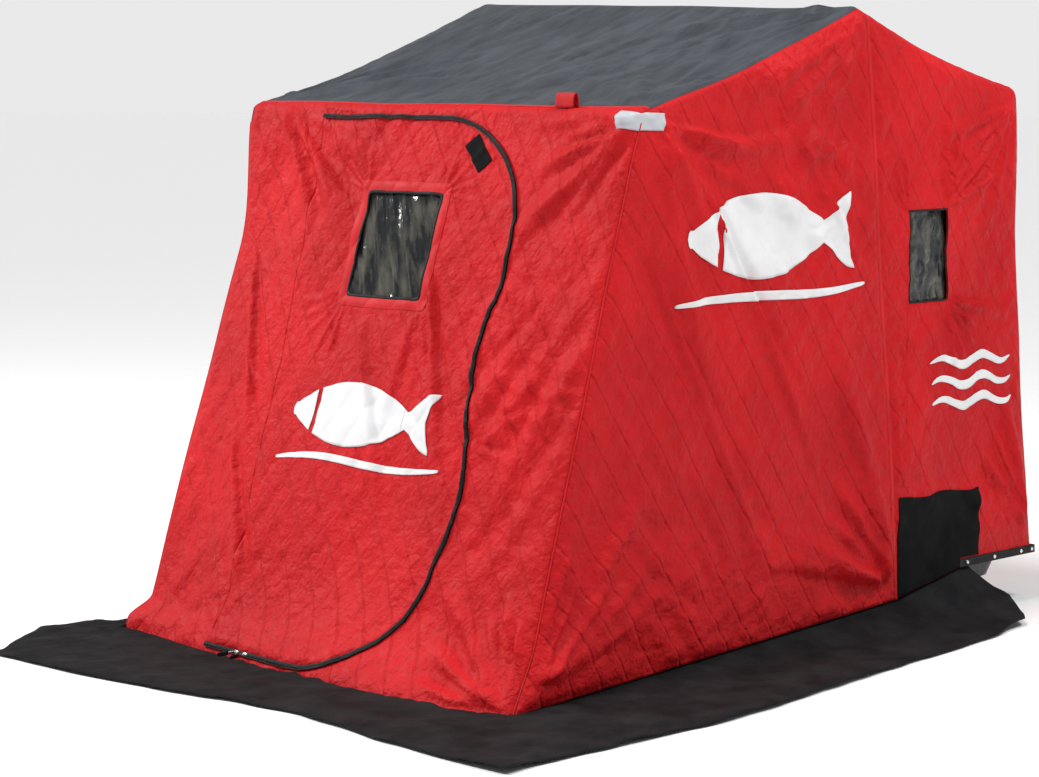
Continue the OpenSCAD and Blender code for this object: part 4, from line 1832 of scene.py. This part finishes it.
    def corner_seam(self) -> bpy.types.Object:
        """The piping along the front corner, a thin roll that follows the rounded edge.

        Returns:
            The piece.
        """
        profile = self.shell.profile
        s = np.linspace(0.01, float(profile.table["turns"][0]) - 0.03, 240)
        at, _ = profile.at(s)
        u = self.shell.half(at[:, 1]) - self.shell.inset
        line = self.shell.band(self.hand.value * u, s, 0.0)
        turn = np.linspace(-math.pi, math.pi, 13)
        one = np.array([self.hand.value, 0.0, 0.0])
        two = np.array([0.0, -math.cos(self.shell.front_lean), math.sin(self.shell.front_lean)])
        round_it = np.cos(turn)[:, None] * one + np.sin(turn)[:, None] * two
        tube = line[:, None] + 0.0021 * round_it[None]
        mesh = Mesher(self.name("corner_piping")).grid(tube, flip=self.hand is Hand.RIGHT)
        piece = mesh.build(Finish.RED_PLAIN)
        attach(piece, "hut")
        return piece

    def reflector(self) -> bpy.types.Object:
        """The reflective tape folded round the corner under the eave.

        Returns:
            The piece.
        """
        shell, hand = self.shell, self.hand.value
        low, high, lift = 1.342, 1.385, 0.0022
        turn = float(shell.profile.table["turns"][0])
        scale = 1 / math.cos(shell.front_lean)
        v = np.linspace(low * scale, min(high * scale, turn - 0.006), 12)
        at, _ = shell.profile.at(v)
        edge = shell.half(at[:, 1]) - shell.inset
        t = np.linspace(0, 1, 16)[:, None]
        reach = 0.056 if self.hand is Hand.RIGHT else 0.012
        front = self.front.lay(np.stack([hand * (edge - reach * (1 - t)), v + 0 * t], -1), lift)
        h, lean = np.linspace(low, high, 12), shell.front_lean
        corner_back = shell.inset / math.cos(lean) + h * math.tan(lean)
        side_back = corner_back + 0.072 * t
        side = self.lay(self.main_relief, np.stack([side_back, h + 0 * t], -1), lift)
        seam = (front[-1] + side[0]) / 2
        front[-1] = side[0] = seam
        grid = np.concatenate([front, side[1:]])
        mesh = Mesher(self.name("reflector_tape")).grid(grid, flip=self.hand is Hand.LEFT)
        piece = self.finish(mesh, [Finish.REFLECT], 0.0008)
        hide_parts(self.name("reflector"))
        return piece

    def prints(self) -> bpy.types.Object:
        """The plain white prints: a large fish over a bar, and three short waves behind.

        Returns:
            The piece.
        """
        mesh = Mesher(self.name("wall_prints"))
        flip = self.hand is Hand.LEFT
        for p in plain_fish((0.925, 1.075), 0.66, 0.215, 0.0):
            mesh.grid(self.lay(self.main_relief, p, PRINT_LIFT), flip=flip)
        stroke = bar((0.56, 0.912), (1.30, 0.934), 0.024)
        mesh.grid(self.lay(self.main_relief, stroke, PRINT_LIFT), flip=flip)
        for k in range(3):
            t, q = np.linspace(0, 1, 80)[:, None], np.linspace(-0.5, 0.5, 6)[None, :]
            x = 1.60 + 0.40 * t + 0 * q
            swell = 0.026 * q * np.sin(math.pi * t) ** 0.45
            y = 0.700 - 0.056 * k + 0.012 * np.sin(t * 4 * math.pi) + swell
            mesh.grid(self.lay(self.rear_relief, np.stack([x, y], -1), PRINT_LIFT), flip=flip)
        return self.finish(mesh, [Finish.WHITE], PRINT_THICK)

    def rivets(self) -> bpy.types.Object:
        """Domed rivets along the strip over the sled's lip.

        Returns:
            The piece.
        """
        mesh = Mesher(self.name("lip_rivets"))
        lean = self.shell.side_lean
        out = np.array([self.hand.value * math.cos(lean), 0.0, math.sin(lean)])
        up = np.array([-self.hand.value * math.sin(lean), 0.0, math.cos(lean)])
        back = np.array([0.0, 1.0, 0.0])
        h = 0.143
        x = self.hand.value * float(self.shell.half(np.array(h)))
        for y in (1.775, 1.905, 2.035, 2.088):
            at = np.array([x, y + self.shell.foot_back, h])
            mesh.grid(block(at + 0.0052 * out, back, up, out, (0.0058, 0.0058, 0.0030), 2.3))
        piece = mesh.build(Finish.METAL)
        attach(piece, "hut")
        return piece


@dataclass
class Roof:
    """The dark front slope, the red rear slope and the rear wall, on the same strip."""

    shell: Shell
    wrap: float = 0.030
    cloth: float = 0.004

    def strip(
        self,
        name: str,
        low: float,
        high: float,
        cells: tuple[int, int],
        relief: Relief,
        finish: Finish,
    ) -> bpy.types.Object:
        """One panel of the strip over the bows.

        Args:
            name: the piece's name.
            low: where it starts along the outline.
            high: where it ends.
            cells: cells across and along.
            relief: its relief.
            finish: its outer finish.

        Returns:
            The piece.
        """
        s = np.linspace(low, high, cells[1])[None, :] + np.zeros((cells[0], 1))
        at, _ = self.shell.profile.at(s)
        edge = self.shell.half(at[..., 1]) - self.shell.inset
        u = np.linspace(-1, 1, cells[0])[:, None] * edge
        gap = np.minimum(edge - np.abs(u), np.minimum(s - low, high - s))
        fade = ease(gap, 0, 0.05)
        ripple = relief.noise.at(s / 0.036, 2.2 + 0 * u)
        pucker = 0.0020 * ripple * hump(edge - np.abs(u) - 0.02, 0.03)
        lift = relief.rise(u, s) * fade + pucker * ease(edge - np.abs(u), 0, 0.015)
        mesh = Mesher(name).grid(self.shell.band(u, s, lift), mark=relief.pattern(u, s))
        piece = thicken(mesh.build(finish, Finish.LINING), self.cloth, 1)
        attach(piece, "hut")
        return piece

    def build(self) -> list[bpy.types.Object]:
        """Builds the three panels, the loop on the eave and the hem behind it.

        Returns:
            The pieces.
        """
        turns = self.shell.profile.table["turns"]
        end = float(self.shell.profile.table["run"][-1])
        front = Relief(
            101,
            [
                *fan((-0.66, 1.50), 30, 84, 0.60, 6, 0.0055, 102),
                *fan((0.66, 1.50), 96, 150, 0.55, 6, 0.0055, 103),
                *fan((0.66, 2.36), 200, 262, 0.60, 6, 0.0050, 104),
            ],
            quilt=0.0022,
            crumple=0.0085,
            grain=78,
        )
        rear_folds = fan((0.64, 2.46), 200, 262, 0.5, 5, 0.005, 112)
        rear = Relief(111, rear_folds, quilt=0.0034, crumple=0.0085, grain=80)
        back = Relief(
            121,
            [
                *fan((0.66, 3.16), 186, 262, 0.7, 6, 0.006, 122),
                *fan((-0.66, 4.38), 12, 80, 0.7, 6, 0.006, 123),
            ],
            quilt=0.004,
            crumple=0.008,
        )
        eave, ridge, rear_eave = (float(run) for run in turns)
        start, strip = eave + self.wrap, self.strip
        one = strip("roof_cloth_front", start, ridge, (160, 108), front, Finish.ROOF)
        two = strip("roof_cloth_rear", ridge, rear_eave, (140, 78), rear, Finish.RED)
        three = strip("rear_wall_cloth", rear_eave, end, (140, 130), back, Finish.RED)
        for piece, node, slot, flat, on in (
            (one, "roof_front", "roof_cloth", (1.39, 0.88), "front_bow_bar"),
            (two, "roof_rear", "red_cloth", (1.39, 0.76), "ridge_bow_bar"),
            (three, "rear_wall", "red_cloth", (1.43, 1.31), "rear_bow_bar"),
        ):
            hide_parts(node)
        return [one, two, three, self.loop(start), self.hem_tape(start)]

    def loop(self, start: float) -> bpy.types.Object:
        """The small red webbing loop that stands on the front eave, a folded strap.

        Returns:
            The piece.
        """
        u = np.linspace(0.415, 0.475, 14)[:, None]
        t = np.linspace(0, 1, 30)[None, :]
        flat = 0 * u * t
        base = self.shell.band(u + flat, start - 0.014 + flat, 0.002)
        rise = 0.036 * np.sin(t * math.pi) ** 0.7
        grid = base + np.stack([flat, flat - 0.010 * np.cos(t * math.pi), flat + rise], -1)
        piece = thicken(Mesher("eave_webbing_loop").grid(grid).build(Finish.RED_PLAIN), 0.0016)
        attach(piece, "hut")
        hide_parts("eave_loop")
        return piece

    def hem_tape(self, start: float) -> bpy.types.Object:
        """The stitched hem where the red cloth ends on the roof, a low ridge."""
        s = start + np.linspace(-0.010, 0.002, 8)[None, :]
        at, _ = self.shell.profile.at(s)
        edge = self.shell.half(at[..., 1]) - self.shell.inset
        u = np.linspace(-1, 1, 200)[:, None] * edge
        t = np.linspace(0, 1, 8)[None, :]
        lift = 0.0010 + 0.0012 * np.sin(t * math.pi) - 0.0008 * hump(t - 0.3, 0.12) + 0 * u
        piece = Mesher("eave_hem").grid(self.shell.band(u, s + 0 * u, lift)).build(Finish.RED_PLAIN)
        thicken(piece, 0.0016)
        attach(piece, "hut")
        return piece


@dataclass
class Skirt:
    """The black cloth skirt that lies on the ice round the front and both sides."""

    shell: Shell
    thick: float = 0.003
    rear_end: float = 1.795
    across: int = 30
    ice: float = 0.004
    ruck_depth: float = 0.0120

    def inner(self) -> Array:
        """The line where the skirt leaves the walls, from the left rear round to the right rear."""
        shell = self.shell
        back = np.linspace(self.rear_end, 0.02, 170)
        h = shell.hem(back) - 0.004
        left = np.stack([-(shell.half(h) - 0.010), back, h], 1)
        x = np.linspace(-shell.half_width + 0.02, shell.half_width - 0.02, 150)
        front = np.stack([x, 0.020 + 0 * x, 0.004 + 0 * x], 1)
        right = left[::-1] * np.array([-1, 1, 1])
        return np.concatenate([left, front, right])

    def outer(self) -> Array:
        """The skirt's outline on the ice, with slow waves along its edge."""
        shell = self.shell
        half, tip = shell.half_width, self.rear_end + 0.062
        n = GradientNoise(211)
        back = np.linspace(1.74, 0.02, 160)
        swell = np.where(back > 1.0, 1 - 0.45 * ((back - 1.0) / 0.74) ** 2, 1.0)
        left_reach = 0.020 + 0.350 * ease(back, 0, 1.0) * swell
        left = np.stack([-(half + left_reach), back], 1)
        corners = np.array([[-half - 0.165, -0.130], [-half + 0.015, -0.398]])
        tuck = spaced(np.concatenate([left[-1:], corners]), 40)[1:]
        x = np.linspace(-half + 0.02, half + 0.37, 130)
        front = np.stack([x, -0.440 + 0.075 * hump(x - 0.32, 0.38)], 1)
        back = np.linspace(-0.42, 1.74, 170)
        taper = 1 - 0.45 * (np.maximum(back, 0) / 1.74) ** 2
        right_reach = 0.375 * taper + 0.01 * np.sin(back * 5)
        right = np.stack([half + right_reach, back], 1)
        head, tail = np.array([[-half - 0.085, tip]]), np.array([[half + 0.190, tip - 0.09]])
        line = np.concatenate([head, left, tuck, front, right[2:], tail, [[half + 0.085, tip]]])
        wave = 0.006 * n.at(lengths(line) / 0.11, lengths(line) * 0 + 0.5)
        way = np.gradient(line, axis=0)
        way /= np.linalg.norm(way, axis=1)[:, None]
        line = line + wave[:, None] * np.stack([way[:, 1], -way[:, 0]], 1)
        return np.concatenate([line, np.full((len(line), 1), self.ice)], 1)

    def matched(self) -> tuple[Array, Array]:
        """Both lines with equal numbers of points, stretch by stretch.

        Returns:
            The inner and the outer line.
        """
        inner, outer = self.inner(), self.outer()
        cut_in = [0, 169, 319, len(inner) - 1]
        half = self.shell.half_width
        nearest = lambda x, y: int(np.argmin(np.hypot(outer[:, 0] - x, outer[:, 1] - y)))
        corner, right = nearest(0.015 - half, -0.40), nearest(half + 0.37, -0.44)
        cut_out = [0, corner, right, len(outer) - 1]
        parts_in, parts_out = [], []
        for k, n in enumerate((150, 150, 160)):
            parts_in.append(spaced(inner[cut_in[k] : cut_in[k + 1] + 1], n)[: n - 1])
            parts_out.append(spaced(outer[cut_out[k] : cut_out[k + 1] + 1], n)[: n - 1])
        return np.concatenate([*parts_in, inner[-1:]]), np.concatenate([*parts_out, outer[-1:]])

    def build(self) -> list[bpy.types.Object]:
        """Builds the skirt: a drop from the hem to the ice, then wrinkled cloth lying on it.

        Returns:
            The piece.
        """
        inner, outer = self.matched()
        t = np.linspace(0, 1, self.across)[None, :, None]
        p = (1 - t) * inner[:, None] + t * outer[:, None]
        wide = np.linalg.norm((outer - inner)[:, :2], axis=1)[:, None]
        run = t[..., 0] * wide
        fall = np.exp(-run / np.maximum(0.9 * inner[:, 2:3], 0.004))
        z = self.ice + (inner[:, 2:3] - self.ice) * fall
        n = GradientNoise(221)
        x, y = p[..., 0], p[..., 1]
        ruck = n.creased(x, y, 0.16, 20, 2.2) + 0.6 * n.creased(x + 4, y + 1, 0.07, 75, 2.4)
        ruck = ruck + 0.3 * n.creased(x, y + 7, 0.035, 40, 1.5)
        settle = ease(run, 0, 0.05)
        z = z + self.ruck_depth * ruck * settle * (1 - 0.6 * ease(t[..., 0], 0.85, 1.0))
        z = z + 0.010 * np.maximum(n.at(x * 4 + 0.3, y * 4 + 0.8), 0) * ease(t[..., 0], 0.75, 1.0)
        calm = 1 - 0.96 * hump(np.hypot(x + 0.42, y + 0.13), 0.26)
        p[..., 2] = self.ice + (z - self.ice) * calm
        p[..., 1] += self.shell.foot_back
        mesh = Mesher("skirt_cloth").grid(p, flip=False)
        piece = thicken(mesh.build(Finish.BLACK), self.thick)
        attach(piece, "hut")
        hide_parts("skirt_front", "skirt_right", "skirt_left")
        return [piece]


def dress_cad_nodes() -> None:
    """Gives the CAD nodes that stay their finishes."""
    wear = {
        "sled": Finish.SLED,
        "lip_trim": Finish.STRIP,
        "pivot_brackets": Finish.BRACKET,
    }
    for bow in ("ground", "front", "ridge", "rear"):
        wear[f"{bow}_bow_bar"] = wear[f"{bow}_bow_legs"] = Finish.TUBE
    for node, finish in wear.items():
        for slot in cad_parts[node].material_slots:
            slot.material = finish.material
        log.info("%s wears %s", node, finish.value.name)


@dataclass(frozen=True)
class Studio:
    """The floor, the soft light and the camera."""

    azimuth: float = 43.56
    elevation: float = 6.36
    roll: float = 0.17
    lens: float = 101.09
    place: tuple[float, float, float] = (5.29798, -5.64209, 1.50165)

    def build(self) -> None:
        """Makes the stage."""
        self.camera()
        self.floor()
        self.lights()

    def camera(self) -> None:
        """A camera in front of the right corner, a little above the eave."""
        a, e, r = (math.radians(x) for x in (self.azimuth, self.elevation, self.roll))
        right = np.array([math.cos(a), math.sin(a), 0])
        back = np.array([math.sin(a) * math.cos(e), -math.cos(a) * math.cos(e), math.sin(e)])
        up = np.cross(back, right)
        across = math.cos(r) * right + math.sin(r) * up
        above = math.cos(r) * up - math.sin(r) * right
        data = bpy.data.cameras.new("camera")
        data.lens, data.sensor_width, data.clip_end = self.lens, 36.0, 200.0
        camera = bpy.data.objects.new("camera", data)
        bpy.context.scene.collection.objects.link(camera)
        turn = np.eye(4)
        turn[:3, 0], turn[:3, 1], turn[:3, 2], turn[:3, 3] = across, above, back, self.place
        camera.matrix_world = Matrix(turn.tolist())
        bpy.context.scene.camera = camera

    def floor(self) -> None:
        """A wide round floor: rings of points, closer together near the middle."""
        r = np.array([0.0, 2, 5, 12, 30, 80])[:, None]
        a = np.linspace(0, 2 * math.pi, 65)[None, :]
        disc = np.stack([r * np.cos(a), r * np.sin(a), 0 * r * a], -1)
        piece = Mesher("floor").grid(disc).build(Finish.FLOOR)
        piece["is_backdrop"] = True

    def lights(self) -> None:
        """Large soft lights from the left front, the right front and above."""
        world = bpy.data.worlds.new("pale_room")
        world.use_nodes = True
        sky = world.node_tree.nodes["Background"]
        tree, where = world.node_tree, world.node_tree.nodes.new("ShaderNodeTexCoord")
        split, fade = tree.nodes.new("ShaderNodeSeparateXYZ"), tree.nodes.new("ShaderNodeMapRange")
        horizon, overhead = (0.03, 0.82), (0.22, 0.34)
        for end, (height, strength) in (("Min", horizon), ("Max", overhead)):
            fade.inputs[f"From {end}"].default_value = height
            fade.inputs[f"To {end}"].default_value = strength
        tree.links.new(where.outputs["Generated"], split.inputs[0])
        tree.links.new(split.outputs[2], fade.inputs["Value"])
        tree.links.new(fade.outputs[0], sky.inputs[1])
        sky.inputs[0].default_value = (1.0, 1.0, 1.0, 1)
        bpy.context.scene.world = world
        self.lamp("sky", "SUN", (-0.6, -2.6, 6.4), 1.9, 0.35)
        self.lamp("fill", "AREA", (3.2, 0.9, 4.9), 150.0, 1.3)
        self.lamp("rake", "AREA", (-5.0, -3.2, 4.4), 240.0, 1.2)
        bpy.context.scene.view_settings.view_transform = "Standard"

    def lamp(
        self, name: str, kind: str, at: tuple[float, float, float], power: float, size: float
    ) -> None:
        """One lamp that faces the hut.

        Args:
            name: its name.
            kind: a sun or an area lamp.
            at: where it stands.
            power: its strength.
            size: its width in metres, or a sun's breadth in radians.
        """
        data = bpy.data.lights.new(name, kind)
        data.energy = power
        if kind == "SUN":
            data.angle = size
        else:
            data.size = size
        lamp = bpy.data.objects.new(name, data)
        bpy.context.scene.collection.objects.link(lamp)
        back = np.array(at) - np.array([0, 0, 0.7])
        back = back / np.linalg.norm(back)
        right = np.cross([0, 0, 1], back)
        right = right / np.linalg.norm(right)
        turn = np.eye(4)
        turn[:3, 0], turn[:3, 1], turn[:3, 2], turn[:3, 3] = right, np.cross(back, right), back, at
        lamp.matrix_world = Matrix(turn.tolist())


def main() -> None:
    """Builds the hut round its frame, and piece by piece."""
    logging.basicConfig(level=logging.INFO, format="%(message)s")
    Studio().build()
    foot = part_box("skirt_front")[0].y + 0.443
    shell = Shell(foot_back=foot)
    dress_cad_nodes()
    front = FrontWall(shell)
    for part in (
        front,
        SideWall(shell, front, Hand.RIGHT),
        SideWall(shell, front, Hand.LEFT, cell=0.0105),
        Roof(shell),
        Skirt(shell),
    ):
        for piece in part.build():
            log.info("%s: %d faces", piece.name, len(piece.data.polygons))
    {"cad": CAD_BOX, "visual": [list(corner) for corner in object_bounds()]}


if __name__ == "__main__":
    main()
